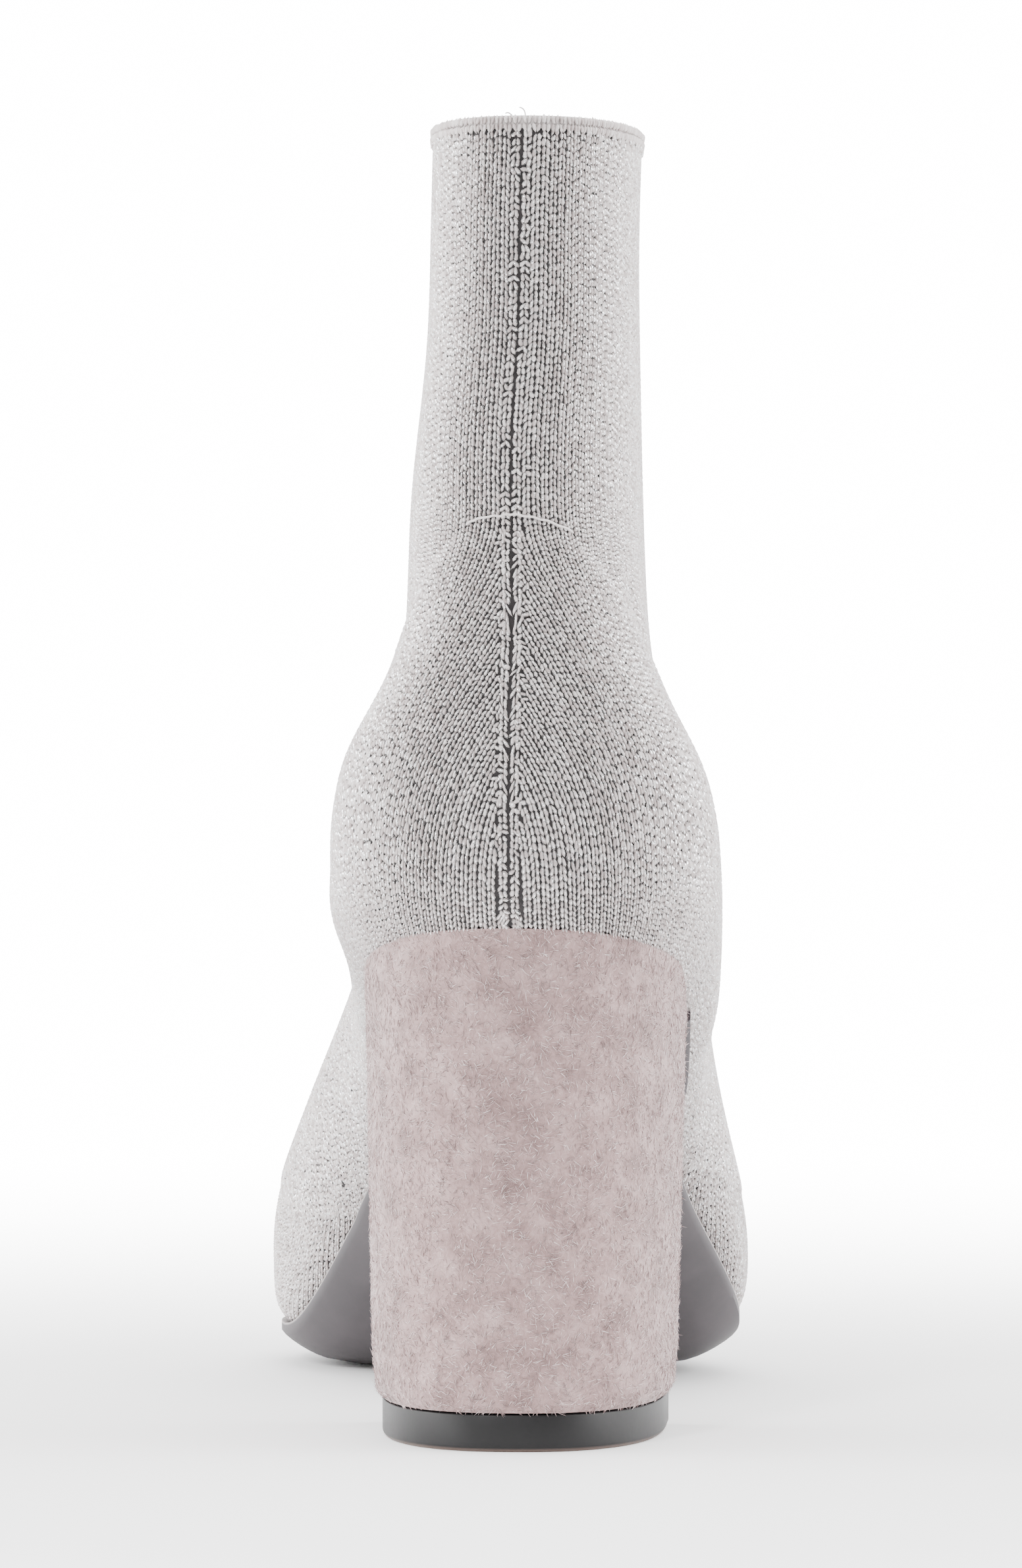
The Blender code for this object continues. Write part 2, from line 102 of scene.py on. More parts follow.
# Sections of the upper from the sole to the collar, as shares of the sizes above
UPPER_COLUMNS = (
    "back", "counter", "shaft", "front", "instep", "leg", "follow",
    "heel", "waist", "ball", "toe", "collar", "round_back", "round_front", "lean", "outer",
)
UPPER_SECTIONS = (
    (.025, .000, .00, .986, .000, .000, 1.00, .82, .80, 0.93, 0.95, .00, .195, .260, .000, 1.00),
    (.007, .072, .00, .998, .040, .000, 1.00, .94, .90, .985, 1.02, .00, .200, .270, .000, 1.00),
    (.000, .160, .00, .994, .098, .000, 0.95, 1.0, .97, 1.00, 1.00, .00, .208, .270, .000, 1.00),
    (.000, .246, .00, .958, .190, .000, 0.86, 1.0, 1.0, 1.00, 0.95, .00, .208, .280, .000, .975),
    (.002, .348, .00, .883, .322, .000, 0.72, 1.0, 1.0, 0.97, 1.00, .00, .208, .270, .000, .925),
    (.007, .464, .00, .792, .455, .000, 0.55, .98, .96, 0.88, 0.95, .00, .206, .235, .000, .930),
    (.014, .580, .00, .708, .614, .000, 0.40, .92, .88, 0.75, 0.80, .00, .200, .210, .000, .940),
    (.021, .710, .00, .633, .800, .000, 0.27, .74, .80, 0.66, 0.70, .08, .195, .205, .005, .970),
    (.027, .840, .00, .567, 1.00, .000, 0.15, .34, .38, 0.33, 0.35, .60, .193, .200, .005, 1.00),
    (.032, 1.00, .00, .504, 1.00, .115, 0.08, .17, .18, 0.16, 0.18, .83, .192, .197, .000, 1.00),
    (.034, 1.00, .23, .454, 1.00, .274, 0.00, .06, .07, 0.06, 0.06, .99, .192, .193, .000, 1.00),
    (.034, 1.00, .49, .425, 1.00, .527, 0.00, .00, .00, 0.00, 0.00, 1.03, .192, .192, .030, 1.00),
    (.032, 1.00, .74, .418, 1.00, .770, 0.00, .00, .00, 0.00, 0.00, 1.00, .192, .193, .040, 1.00),
    (.030, 1.00, 1.0, .417, 1.00, 1.00, 0.00, .00, .00, 0.00, 0.00, 1.00, .192, .193, .055, 1.00),
)
END_POWER = 2.15
SOLE_CURVE = (
    (0.00, 1.000), (0.05, 0.980), (0.10, 0.950), (0.18, 0.895), (0.25, 0.815), (0.32, 0.690),
    (0.42, 0.465), (0.52, 0.235), (0.60, 0.075), (0.65, 0.015), (0.69, 0.000), (0.75, 0.000),
)
BALL_START = 0.69
SPRING_STATION = 0.79
CUP_START = 0.60
COUNTER_EDGE = (
    (0.00, 1.00), (0.04, 0.98), (0.08, 0.89), (0.12, 0.78), (0.17, 0.66), (0.25, 0.45), (0.36, 0.10),
)
PANEL_SEAM_FOOT = {"outer": 0.42, "inner": 0.50}
PANEL_SEAM_RIDGE = 0.76

# Station from which the toe panel's courses are counted
TOE_START = 0.165

# The knit: width of a wale, height of a course and the yarn's thickness over the cloth
WALE = 0.0017
COURSE = 0.00125
HEM_COURSE = 0.0014
YARN = 0.00042

# Rows and columns of the fine grid that carries the stitches, one grid on each side, and how
# many of its top rows hold the hem
FINE_ROWS = 560
FINE_COLUMNS = 400
RIM_ROWS = 55


def ease(share):
    """A soft step from 0 to 1: three squares less two cubes of the share."""
    share = np.clip(share, 0.0, 1.0)
    return share * share * (3.0 - 2.0 * share)


def rounded(distance, length, power=END_POWER):
    """Width near a rounded end: a superellipse quarter as long as the rounding."""
    rest = 1.0 - np.clip(distance / length, 0.0, 1.0)
    return (1.0 - rest ** power) ** (1.0 / power)


def spline(knots, values, at):
    """Natural cubic spline through the knots, read at the given places."""
    knots = np.asarray(knots, float)
    values = np.asarray(values, float)
    count = len(knots)
    gaps = np.diff(knots)
    matrix = np.eye(count)
    right = np.zeros(count)
    for row in range(1, count - 1):
        matrix[row, row - 1:row + 2] = gaps[row - 1], 2 * (gaps[row - 1] + gaps[row]), gaps[row]
        slopes = np.diff(values[row - 1:row + 2]) / gaps[row - 1:row + 1]
        right[row] = 6 * (slopes[1] - slopes[0])
    bends = np.linalg.solve(matrix, right)
    at = np.clip(np.asarray(at, float), knots[0], knots[-1])
    left = np.clip(np.searchsorted(knots, at, side="right") - 1, 0, count - 2)
    gap = gaps[left]
    before = (knots[left + 1] - at) / gap
    after = (at - knots[left]) / gap
    cubic = (before ** 3 - before) * bends[left] + (after ** 3 - after) * bends[left + 1]
    return before * values[left] + after * values[left + 1] + cubic * gap ** 2 / 6


def centre_line(station):
    """Sideways place of the middle of the foot: straight at the heel, inward at the toe."""
    ball = ease((station / FOOT_LENGTH - 0.25) / 0.50)
    toe = ease((station / FOOT_LENGTH - 0.60) / 0.40)
    return -BALL_SWING * ball - TOE_SWING * toe


def sole_height(station, across, spread=1.0):
    """Height of the last's bottom: seat, waist, flat ball, toe spring, tilted arch and cup."""
    share = station / FOOT_LENGTH
    stations, shares = zip(*SOLE_CURVE)
    seat = np.where(share < BALL_START, np.maximum(spline(stations, shares, share), 0.0), 0.0)
    spring = ease((share - SPRING_STATION) / (1.0 - SPRING_STATION) / 2) * 2
    arch = ease((share - 0.22) / 0.2) * ease((0.66 - share) / 0.2)
    tilt = -arch * ARCH_TILT * (across - centre_line(station)) / WAIST_WIDTH
    rim = np.maximum((spread - CUP_START) / (1.0 - CUP_START), 0.0) ** 2
    cup = SOLE_CUP * rim * ease((share - 0.30) / 0.25)
    return SOLE_THICKNESS + (SEAT_HEIGHT - SOLE_THICKNESS) * seat + TOE_SPRING * spring + tilt + cup


def half_width(section, station, side):
    """Half-width of a section: heel, waist, ball and toe widths joined by soft steps."""
    share = station / FOOT_LENGTH
    factors = SIDE_FACTORS[side]
    ball_station = BALL_STATION[side]
    heel = section["heel"] * COUNTER_WIDTH / 2
    waist = section["waist"] * factors["waist"] * WAIST_WIDTH / 2
    ball = section["ball"] * (section["outer"] if side == "outer" else 1.0) * BALL_WIDTH / 2
    toe = section["toe"] * factors["toe"] * TOE_WIDTH / 2
    width = heel + (waist - heel) * ease((share - HEEL_STATION) / (WAIST_STATION - HEEL_STATION))
    width = width + (ball - waist) * ease((share - WAIST_STATION) / (ball_station - WAIST_STATION))
    width = width + (toe - ball) * ease((share - ball_station) / (1.0 - ball_station))
    return width + section["collar"] * COLLAR_WIDTH / 2


def upper_side(level, along, side):
    """Outer face of the upper on one side, from level 0 at the sole to 1 at the collar.

    Each section runs from its back to its front in a tilted line that dips with the sole, and
    swells to its half-width between two rounded ends.
    """
    levels = np.linspace(0.0, 1.0, len(UPPER_SECTIONS))
    table = np.array(UPPER_SECTIONS)
    section = {name: spline(levels, table[:, column], level) for column, name in enumerate(UPPER_COLUMNS)}
    back = section["back"] * FOOT_LENGTH
    collar_front = UPPER_SECTIONS[-1][UPPER_COLUMNS.index("front")] * FOOT_LENGTH
    depth_change = COLLAR_DEPTH - (collar_front - UPPER_SECTIONS[-1][0] * FOOT_LENGTH)
    front = section["front"] * FOOT_LENGTH + depth_change * section["leg"]
    place = (1.0 - np.cos(np.pi * along)) / 2
    station = back + (front - back) * place
    width = half_width(section, station, side)
    width = width * rounded(station - back, section["round_back"] * FOOT_LENGTH)
    width = width * rounded(front - station, section["round_front"] * FOOT_LENGTH)
    sign = 1.0 if side == "outer" else -1.0
    across = centre_line(station) + sign * width + section["lean"] * COLLAR_WIDTH
    floor_back = sole_height(back, centre_line(back)) + JOIN_GAP
    floor_front = sole_height(front, centre_line(front)) + JOIN_GAP
    top_back = floor_back + section["counter"] * COUNTER_HEIGHT
    top_back = top_back + section["shaft"] * (COLLAR_HEIGHT - floor_back - COUNTER_HEIGHT)
    top_front = floor_front + section["instep"] * INSTEP_HEIGHT
    top_front = top_front + section["leg"] * (COLLAR_HEIGHT - floor_front - INSTEP_HEIGHT)
    start = top_back - section["follow"] * floor_back
    end = top_front - section["follow"] * floor_front
    dip = section["follow"] * (sole_height(station, across) + JOIN_GAP)
    height = start + (end - start) * place + dip
    return np.stack(np.broadcast_arrays(across, station, height), axis=-1)


def join_sides(outer, inner):
    """Closed loops from the points of their two sides, which share their ends."""
    return np.concatenate([outer, inner[..., -2:0:-1, :]], axis=-2)


def outward_normals(loops):
    """Unit normals of a stack of closed loops, from the differences between neighbours."""
    around = np.roll(loops, -1, axis=1) - np.roll(loops, 1, axis=1)
    upward = np.gradient(loops, axis=0)
    normals = np.cross(around, upward)
    return normals / np.linalg.norm(normals, axis=-1, keepdims=True)


def seam_rise(points):
    """Height over the toe panel's seam: it climbs from its foot at the sole to the ridge."""
    across, station, height = points[..., 0], points[..., 1], points[..., 2]
    share = station / FOOT_LENGTH
    outer = across > centre_line(station)
    foot = np.where(outer, PANEL_SEAM_FOOT["outer"], PANEL_SEAM_FOOT["inner"])
    climb = np.clip((share - foot) / (PANEL_SEAM_RIDGE - foot), -1.0, 1.5)
    return height - sole_height(station, across) - 0.5 * INSTEP_HEIGHT * climb


def raised_steps(points):
    """How far the knit stands out: over the stiff counter, and at the leg beside the toe panel."""
    station, height = points[..., 1], points[..., 2]
    stations, shares = zip(*COUNTER_EDGE)
    edge = SEAT_HEIGHT + COUNTER_HEIGHT * spline(stations, shares, station / FOOT_LENGTH)
    over_counter = ease((edge - height) / COUNTER_EDGE_SPREAD + 0.5)
    over_counter = over_counter * ease((COUNTER_EDGE[-1][0] - station / FOOT_LENGTH) / 0.03)
    behind_seam = ease(seam_rise(points) / TOE_PANEL_SPREAD + 0.5)
    return COUNTER_STEP * over_counter + TOE_PANEL_STEP * (behind_seam - 1.0)


# Soft troughs (-) and ridges (+) of the cloth: side sign, station and height of both ends,
# width across and depth, all in millimetres. Side 0 crosses the ridge of the instep.
CREASES = (
    (0, 106, 166, 84, 158, 13.0, -0.8),
    (0, 112, 150, 90, 143, 14.0, -0.7),
    (1, 34, 149, 52, 130, 6.0, -0.6),
    (-1, 34, 151, 54, 128, 6.0, -0.6),
    (1, 120, 84, 146, 60, 9.0, -0.5),
    (-1, 124, 86, 150, 62, 9.0, -0.5),
)


def creases(points):
    """Rise of the cloth: bell curves across short lines, fading beyond their ends."""
    across = points[..., 0] - centre_line(points[..., 1])
    place = points[..., 1:] * 1000
    rise = np.zeros(points.shape[:-1])
    for side, start_y, start_z, end_y, end_z, width, depth in CREASES:
        start, end = np.array([start_y, start_z]), np.array([end_y, end_z])
        line = end - start
        share = np.clip(((place - start) @ line) / (line @ line), 0.0, 1.0)
        away = np.linalg.norm(place - start - share[..., None] * line, axis=-1)
        facing = 1.0 if side == 0 else ease(side * across / 0.006)
        rise += facing * depth * 0.001 * np.exp(-(away / (width / 2)) ** 2)
    return rise


def upper_loops(rows, columns):
    """The cloth's outer face as closed loops: sections, raised steps and creases."""
    level = np.linspace(0.0, 1.0, rows)[:, None]
    along = np.linspace(0.0, 1.0, columns)[None, :]
    base = join_sides(upper_side(level, along, "outer"), upper_side(level, along, "inner"))
    normals = outward_normals(base)
    rise = raised_steps(base) + creases(base)
    rise += HEM_STEP * ease((base[..., 2] - COLLAR_HEIGHT + HEM_HEIGHT) / 0.0006 + 0.5)
    return base + normals * rise[..., None]


def drawn_loop(flat, inward, lift):
    """The upper's lower edge drawn inward over the last's bottom, and lifted off it."""
    spread = 1 - inward / (COUNTER_WIDTH / 2 * UPPER_SECTIONS[0][UPPER_COLUMNS.index("heel")])
    middle = (flat[:, 1].min() + flat[:, 1].max()) / 2
    half_length = (flat[:, 1].max() - flat[:, 1].min()) / 2
    loop = flat.copy()
    loop[:, 1] = middle + (flat[:, 1] - middle) * (1 - inward / half_length)
    loop[:, 0] = centre_line(loop[:, 1]) + (flat[:, 0] - centre_line(flat[:, 1])) * spread
    loop[:, 2] = sole_height(loop[:, 1], loop[:, 0], spread) + lift
    return loop


def mesh_piece(name, vertices, loops, sizes, material, attributes=None):
    """An object from arrays: points, the corners of all faces in one row, and face sizes."""
    mesh = bpy.data.meshes.new(name)
    mesh.vertices.add(len(vertices))
    mesh.vertices.foreach_set("co", np.ascontiguousarray(vertices, dtype=np.float32).ravel())
    mesh.loops.add(len(loops))
    mesh.loops.foreach_set("vertex_index", np.ascontiguousarray(loops, dtype=np.int32))
    mesh.polygons.add(len(sizes))
    starts = np.concatenate([[0], np.cumsum(sizes)[:-1]]).astype(np.int32)
    mesh.polygons.foreach_set("loop_start", starts)
    for key, values in (attributes or {}).items():
        layer = mesh.attributes.new(key, "FLOAT_VECTOR", "POINT")
        layer.data.foreach_set("vector", np.ascontiguousarray(values, dtype=np.float32).ravel())
    mesh.update(calc_edges=True)
    mesh.validate()
    mesh.shade_smooth()
    mesh.materials.append(material)
    piece = bpy.data.objects.new(name, mesh)
    bpy.context.scene.collection.objects.link(piece)
    return piece


def grid_quads(rows, columns, close_rows):
    """Corners of the quads of a grid whose columns close, and whose rows close if asked."""
    row = np.arange(rows if close_rows else rows - 1)[:, None]
    column = np.arange(columns)[None, :]
    after = (column + 1) % columns
    above = (row + 1) % rows
    below, above = row * columns, above * columns
    corners = np.broadcast_arrays(below + column, below + after, above + after, above + column)
    return np.stack(corners, axis=-1).reshape(-1, 4)


def lattice(points, normals, u, v, spacing, offset, extra):
    """Crossings of whole-number wales and courses on a grid of points.

    u and v are the lengths across and along the wales. Each grid cell is cut in two triangles
    small enough to hold one crossing at most. Its place, normal and the two directions of the
    knit follow from the triangle's corners. The extra grids are carried along by name.
    """
    rows, columns = u.shape
    row, column = np.meshgrid(np.arange(rows - 1), np.arange(columns - 1), indexing="ij")
    corner = (row * columns + column).ravel()
    first = np.stack([corner, corner + 1, corner + columns + 1], axis=1)
    second = np.stack([corner, corner + columns + 1, corner + columns], axis=1)
    triangles = np.concatenate([first, second])
    knit = np.stack([u.ravel() / spacing[0] - offset[0], v.ravel() / spacing[1] - offset[1]], axis=1)
    corners = knit[triangles]
    target = np.ceil(corners.min(axis=1))
    inside = (target <= corners.max(axis=1)).all(axis=1)
    triangles, corners, target = triangles[inside], corners[inside], target[inside]
    edge_a, edge_b = corners[:, 1] - corners[:, 0], corners[:, 2] - corners[:, 0]
    offset_to = target - corners[:, 0]
    area = edge_a[:, 0] * edge_b[:, 1] - edge_a[:, 1] * edge_b[:, 0]
    area = np.where(np.abs(area) < 1e-9, 1e-9, area)
    share_a = (offset_to[:, 0] * edge_b[:, 1] - offset_to[:, 1] * edge_b[:, 0]) / area
    share_b = (edge_a[:, 0] * offset_to[:, 1] - edge_a[:, 1] * offset_to[:, 0]) / area
    inside = (share_a >= 0) & (share_b >= 0) & (share_a + share_b < 1)
    triangles, share_a, share_b = triangles[inside], share_a[inside], share_b[inside]
    edge_a, edge_b, area = edge_a[inside], edge_b[inside], area[inside]
    flat_points, flat_normals = points.reshape(-1, 3), normals.reshape(-1, 3)
    a, b, c = (flat_points[triangles[:, k]] for k in range(3))
    place = a + share_a[:, None] * (b - a) + share_b[:, None] * (c - a)
    across = ((b - a) * edge_b[:, 1:] - (c - a) * edge_a[:, 1:]) / area[:, None]
    along = ((c - a) * edge_a[:, :1] - (b - a) * edge_b[:, :1]) / area[:, None]
    return {
        "place": place,
        "normal": flat_normals[triangles[:, 0]],
        "across": across / spacing[0],
        "along": along / spacing[1],
        "wale": target[inside][:, 0],
        "course": target[inside][:, 1],
        **{key: values.ravel()[triangles[:, 0]] for key, values in extra.items()},
    }


def pick(stitches, chosen):
    """The chosen rows of every column."""
    return {key: values[chosen] for key, values in stitches.items()}


def joined(parts):
    """Several sets of stitches as one."""
    return {key: np.concatenate([part[key] for part in parts]) for key in parts[0]}


def limited(vectors, least, most):
    """Vectors with their lengths kept between two values."""
    length = np.linalg.norm(vectors, axis=1, keepdims=True)
    return vectors / length * np.clip(length, least, most)


# One leg of a stitch: shares of its length for two rings of three points, and how wide and
# high each ring is as shares of the wale's width and the yarn's thickness
LEG_RINGS = ((0.30, 0.225, 0.75), (0.70, 0.185, 0.60))
LEG_SINK = -0.75
LEG_FACES = np.array([
    0, 2, 1, 0, 3, 2, 0, 1, 3,
    4, 5, 7, 5, 6, 7, 6, 4, 7,
])
LEG_QUADS = np.array([1, 2, 5, 4, 2, 3, 6, 5, 3, 1, 4, 6])


def stitch_piece(name, stitches, material, rng, jumble, flip=False):
    """Two leaf-shaped legs a stitch, which lean together at the top like an arrowhead.

    A leg's middle line runs from low and wide to high and near the wale's middle. Its width
    and height follow a leaf: nothing at the two sunk tips, fullest in the lower half.
    """
    count = len(stitches["place"])
    across = limited(stitches["across"], 0.65, 1.5)
    along = limited(stitches["along"], 0.65, 1.5)
    vertices = np.empty((count, 2, 8, 3))
    strand = np.empty((count, 2, 8, 3))
    tone = rng.random((count, 2))
    for leg, sign in enumerate((-1.0, 1.0)):
        wobble = rng.normal(0.0, 1.0, (count, 5))
        low = np.stack([sign * 0.335 + 0.03 * wobble[:, 0], -0.80 + 0.06 * wobble[:, 1]], axis=1)
        high = np.stack([sign * 0.115 + 0.03 * wobble[:, 2], 0.62 + 0.06 * wobble[:, 3]], axis=1)
        if flip:
            low[:, 1], high[:, 1] = -low[:, 1], -high[:, 1]
        scale = np.array([WALE, COURSE])
        low, high = low * scale, high * scale
        swing = jumble * rng.normal(0.0, 1.0, count)
        cos, sin = np.cos(swing), np.sin(swing)
        middle = (low + high) / 2
        arm = (high - low) / 2
        arm = np.stack([arm[:, 0] * cos - arm[:, 1] * sin, arm[:, 0] * sin + arm[:, 1] * cos], axis=1)
        low, high = middle - arm, middle + arm
        line = high - low
        side = np.stack([line[:, 1], -line[:, 0]], axis=1)
        side /= np.linalg.norm(side, axis=1, keepdims=True)
        fat = (1.0 + 0.10 * wobble[:, 4])[:, None]
        flat = np.empty((count, 8, 3))
        flat[:, 0, :2], flat[:, 7, :2] = low, high
        flat[:, 0, 2], flat[:, 7, 2] = LEG_SINK * YARN, LEG_SINK * YARN
        for ring, (share, width, rise) in enumerate(LEG_RINGS):
            centre = low + line * share
            for point, (step, lift) in enumerate(((-1.0, -0.45), (0.0, rise), (1.0, -0.45))):
                flat[:, 1 + ring * 3 + point, :2] = centre + side * step * width * WALE * fat
                flat[:, 1 + ring * 3 + point, 2] = lift * YARN
        vertices[:, leg] = (
            stitches["place"][:, None]
            + flat[..., :1] * across[:, None]
            + flat[..., 1:2] * along[:, None]
            + flat[..., 2:] * stitches["normal"][:, None]
        )
        strand[:, leg, :, 0] = np.array([0.5, 0.0, 0.5, 1.0, 0.0, 0.5, 1.0, 0.5])
        strand[:, leg, :, 1] = np.array([0.0, 0.3, 0.3, 0.3, 0.7, 0.7, 0.7, 1.0])
        strand[:, leg, :, 2] = tone[:, leg, None]
    vertices = vertices.reshape(-1, 3)
    vertices[:, 1] -= ORIGIN
    start = (np.arange(count * 2) * 8)[:, None]
    faces = np.concatenate([start + LEG_FACES, start + LEG_QUADS], axis=1).ravel()
    sizes = np.tile([3] * 6 + [4] * 3, count * 2)
    return mesh_piece(name, vertices, faces, sizes, material, {"strand": strand.reshape(-1, 3)})


def linear(code):
    """Linear colour with full opacity from an sRGB hex code."""
    parts = np.array([int(code[k:k + 2], 16) for k in (1, 3, 5)]) / 255
    parts = np.where(parts <= 0.04045, parts / 12.92, ((parts + 0.055) / 1.055) ** 2.4)
    return (*parts.tolist(), 1.0)


def add_node(tree, kind, inputs, **settings):
    """Adds a node, sets its properties, and sets or links its sockets."""
    added = tree.nodes.new(kind)
    for name, value in settings.items():
        setattr(added, name, value)
    for socket, value in inputs.items():
        if isinstance(value, bpy.types.NodeSocket):
            tree.links.new(value, added.inputs[socket])
        else:
            added.inputs[socket].default_value = value
    return added


def new_material(name, settings):
    """A material, its node tree, its shader with the given values, and object coordinates."""
    material = bpy.data.materials.new(name)
    material.use_nodes = True
    tree = material.node_tree
    shader = tree.nodes["Principled BSDF"]
    for socket, value in settings.items():
        shader.inputs[socket].default_value = value
    place = add_node(tree, "ShaderNodeTexCoord", {}).outputs["Object"]
    return material, tree, shader, place


def ramp(tree, factor, stops):
    """A colour ramp between hex codes or grey values at the given places."""
    added = add_node(tree, "ShaderNodeValToRGB", {"Fac": factor})
    elements = added.color_ramp.elements
    while len(elements) < len(stops):
        elements.new(0.5)
    for element, (place, value) in zip(elements, stops):
        element.position = place
        element.color = linear(value) if isinstance(value, str) else (value, value, value, 1.0)
    return added.outputs["Color"]


def calculate(tree, operation, *values):
    """Result of a Math node on two or three values."""
    return add_node(tree, "ShaderNodeMath", dict(enumerate(values)), operation=operation).outputs[0]


def noise(tree, place, scale, detail=2.0, **more):
    """Grey noise in space, as many grains to the metre as the scale."""
    inputs = {"Vector": place, "Scale": scale, "Detail": detail, **more}
    return add_node(tree, "ShaderNodeTexNoise", inputs).outputs["Fac"]


def mixed(tree, share, first, second):
    """A colour turned into a second one, a hex code, by a share."""
    inputs = {0: share, 6: first, 7: linear(second)}
    return add_node(tree, "ShaderNodeMix", inputs, data_type="RGBA").outputs[2]


def strand_parts(tree):
    """The strand attribute: the place across and along a leg or fibre, and its own tone."""
    strand = add_node(tree, "ShaderNodeAttribute", {}, attribute_name="strand")
    return add_node(tree, "ShaderNodeSeparateXYZ", {"Vector": strand.outputs["Vector"]}).outputs


def surface(tree, shader, colour, height, strength, depth):
    """Gives the shader its colour and a bump of that strength and depth."""
    inputs = {"Height": height, "Strength": strength, "Distance": depth}
    tree.links.new(add_node(tree, "ShaderNodeBump", inputs).outputs[0], shader.inputs["Normal"])
    tree.links.new(colour, shader.inputs["Base Color"])


def yarn_material(name, pale, deep, silver_share):
    """Spun yarn knitted with a flat metallic thread: matt plies with bright silver glints."""
    material, tree, shader, place = new_material(name, {
        "Roughness": 0.62, "Sheen Weight": 0.35, "Sheen Roughness": 0.45, "IOR": 1.5,
    })
    strand = strand_parts(tree)
    colour = ramp(tree, strand["Z"], ((0.0, deep), (0.5, pale), (1.0, "#E4DEDC")))
    # plies of the yarn cross each leg at a slant, about 0.25 mm apart
    slant = calculate(tree, "MULTIPLY", strand["X"], 1.6)
    climb = calculate(tree, "MULTIPLY_ADD", strand["Y"], 2.2, slant)
    shift = calculate(tree, "MULTIPLY_ADD", strand["Z"], 7.0, climb)
    ply = calculate(tree, "PINGPONG", shift, 1.0)
    if silver_share > 0:
        glint = calculate(tree, "MULTIPLY", ply, noise(tree, place, 1900.0))
        low = 0.62 - silver_share
        silver = ramp(tree, glint, ((low, 0.0), (low + 0.05, 1.0)))
        colour = mixed(tree, silver, colour, "#F4F4F5")
        rough = add_node(tree, "ShaderNodeMapRange", {"Value": silver, "To Min": 0.66, "To Max": 0.22})
        tree.links.new(silver, shader.inputs["Metallic"])
        tree.links.new(rough.outputs[0], shader.inputs["Roughness"])
    surface(tree, shader, colour, ply, 0.5, 0.00012)
    return material


def cloth_material(name, shade, light):
    """Knitted ground seen between the stitches, where its dark colours are painted shade, or from inside:
    matt and a little fluffy.
    """
    material, tree, shader, place = new_material(name, {"Roughness": 0.9, "Sheen Weight": 0.1})
    fluff = noise(tree, place, 900.0, 3.0)
    surface(tree, shader, ramp(tree, fluff, ((0.3, shade), (0.75, light))), fluff, 0.6, 0.0002)
    return material


def suede_material():
    """Brushed split leather: a short nap in swirls, paler where it is seen edge on."""
    material, tree, shader, place = new_material("suede_brushed_split_leather", {
        "Roughness": 0.95, "Sheen Weight": 0.45, "Sheen Roughness": 0.40, "IOR": 1.45,
    })
    nap = noise(tree, place, 900.0, 4.0, Roughness=0.7, Distortion=1.5)
    both = calculate(tree, "ADD", nap, noise(tree, place, 160.0))
    half = calculate(tree, "MULTIPLY", both, 0.5)
    colour = ramp(tree, half, ((0.32, "#6F5A58"), (0.5, "#9A807E"), (0.68, "#B89F9D")))
    surface(tree, shader, colour, nap, 0.7, 0.0003)
    return material


def nap_material():
    """Single suede fibres: mauve taupe, each a little lighter or darker than the next."""
    material, tree, shader, _ = new_material("suede_nap_fibres", {
        "Roughness": 0.85, "Sheen Weight": 0.3, "Sheen Roughness": 0.5,
    })
    tones = ((0.0, "#77605F"), (0.35, "#A98E8C"), (0.65, "#C4ABA9"), (1.0, "#EADBDA"))
    tree.links.new(ramp(tree, strand_parts(tree)["Z"], tones), shader.inputs["Base Color"])
    return material


def rubber_material(name, deep, pale, roughness, grain, painted_highlight=None):
    """Moulded rubber: nearly black, satin, with a faint grain, and paler where a highlight is painted on an
    edge.
    """
    material, tree, shader, place = new_material(name, {"IOR": 1.40})
    cloud = noise(tree, place, 60.0, 3.0)
    colour = ramp(tree, cloud, ((0.3, deep), (0.7, pale)))
    if painted_highlight:
        # the paler colour is a highlight painted along the top of the outsole's edge
        edge = add_node(tree, "ShaderNodeAttribute", {}, attribute_name="painted_highlight").outputs["Fac"]
        colour = mixed(tree, ramp(tree, edge, ((0.35, 0.0), (0.8, 1.0))), colour, painted_highlight)
    else:
        # the very bottom of the edge is scuffed brown
        height = add_node(tree, "ShaderNodeSeparateXYZ", {"Vector": place}).outputs["Z"]
        scuff = {"Value": height, "From Min": 0.0007, "From Max": 0.0001}
        scuff = add_node(tree, "ShaderNodeMapRange", scuff).outputs[0]
        colour = mixed(tree, scuff, colour, "#6A5A52")
    rough = {"Value": cloud, "To Min": roughness - 0.08, "To Max": roughness + 0.12}
    rough = add_node(tree, "ShaderNodeMapRange", rough).outputs[0]
    tree.links.new(rough, shader.inputs["Roughness"])
    surface(tree, shader, colour, noise(tree, place, grain), 0.15, 0.00008)
    return material


def insole_material():
    """Smooth lining leather with fine grain, pale taupe and matt."""
    material, tree, shader, place = new_material("insole_lining_leather", {"Roughness": 0.6, "IOR": 1.45})
    grain = add_node(tree, "ShaderNodeTexVoronoi", {"Vector": place, "Scale": 1400.0}).outputs["Distance"]
    surface(tree, shader, ramp(tree, grain, ((0.0, "#B9A59C"), (1.0, "#A38F86"))), grain, 0.3, 0.0001)
    return material


def length_along(points, axis, flat=False):
    """Running length of a grid of points along one of its two directions."""
    steps = np.diff(points[..., :2] if flat else points, axis=axis)
    length = np.cumsum(np.linalg.norm(steps, axis=-1), axis=axis)
    start = np.zeros_like(np.take(length, [0], axis=axis))
    return np.concatenate([start, length], axis=axis)


# The wales lean outward below the collar: where the lean starts and ends, in metres below
# the rim, and its slope at the back seam
LEAN_START = (0.066, 0.016)
LEAN_END = (0.108, 0.030)
LEAN_SLOPE = 0.60

# Beside the back seam runs one column of loops of its own, this wide
SEAM_COLUMN = 0.0018


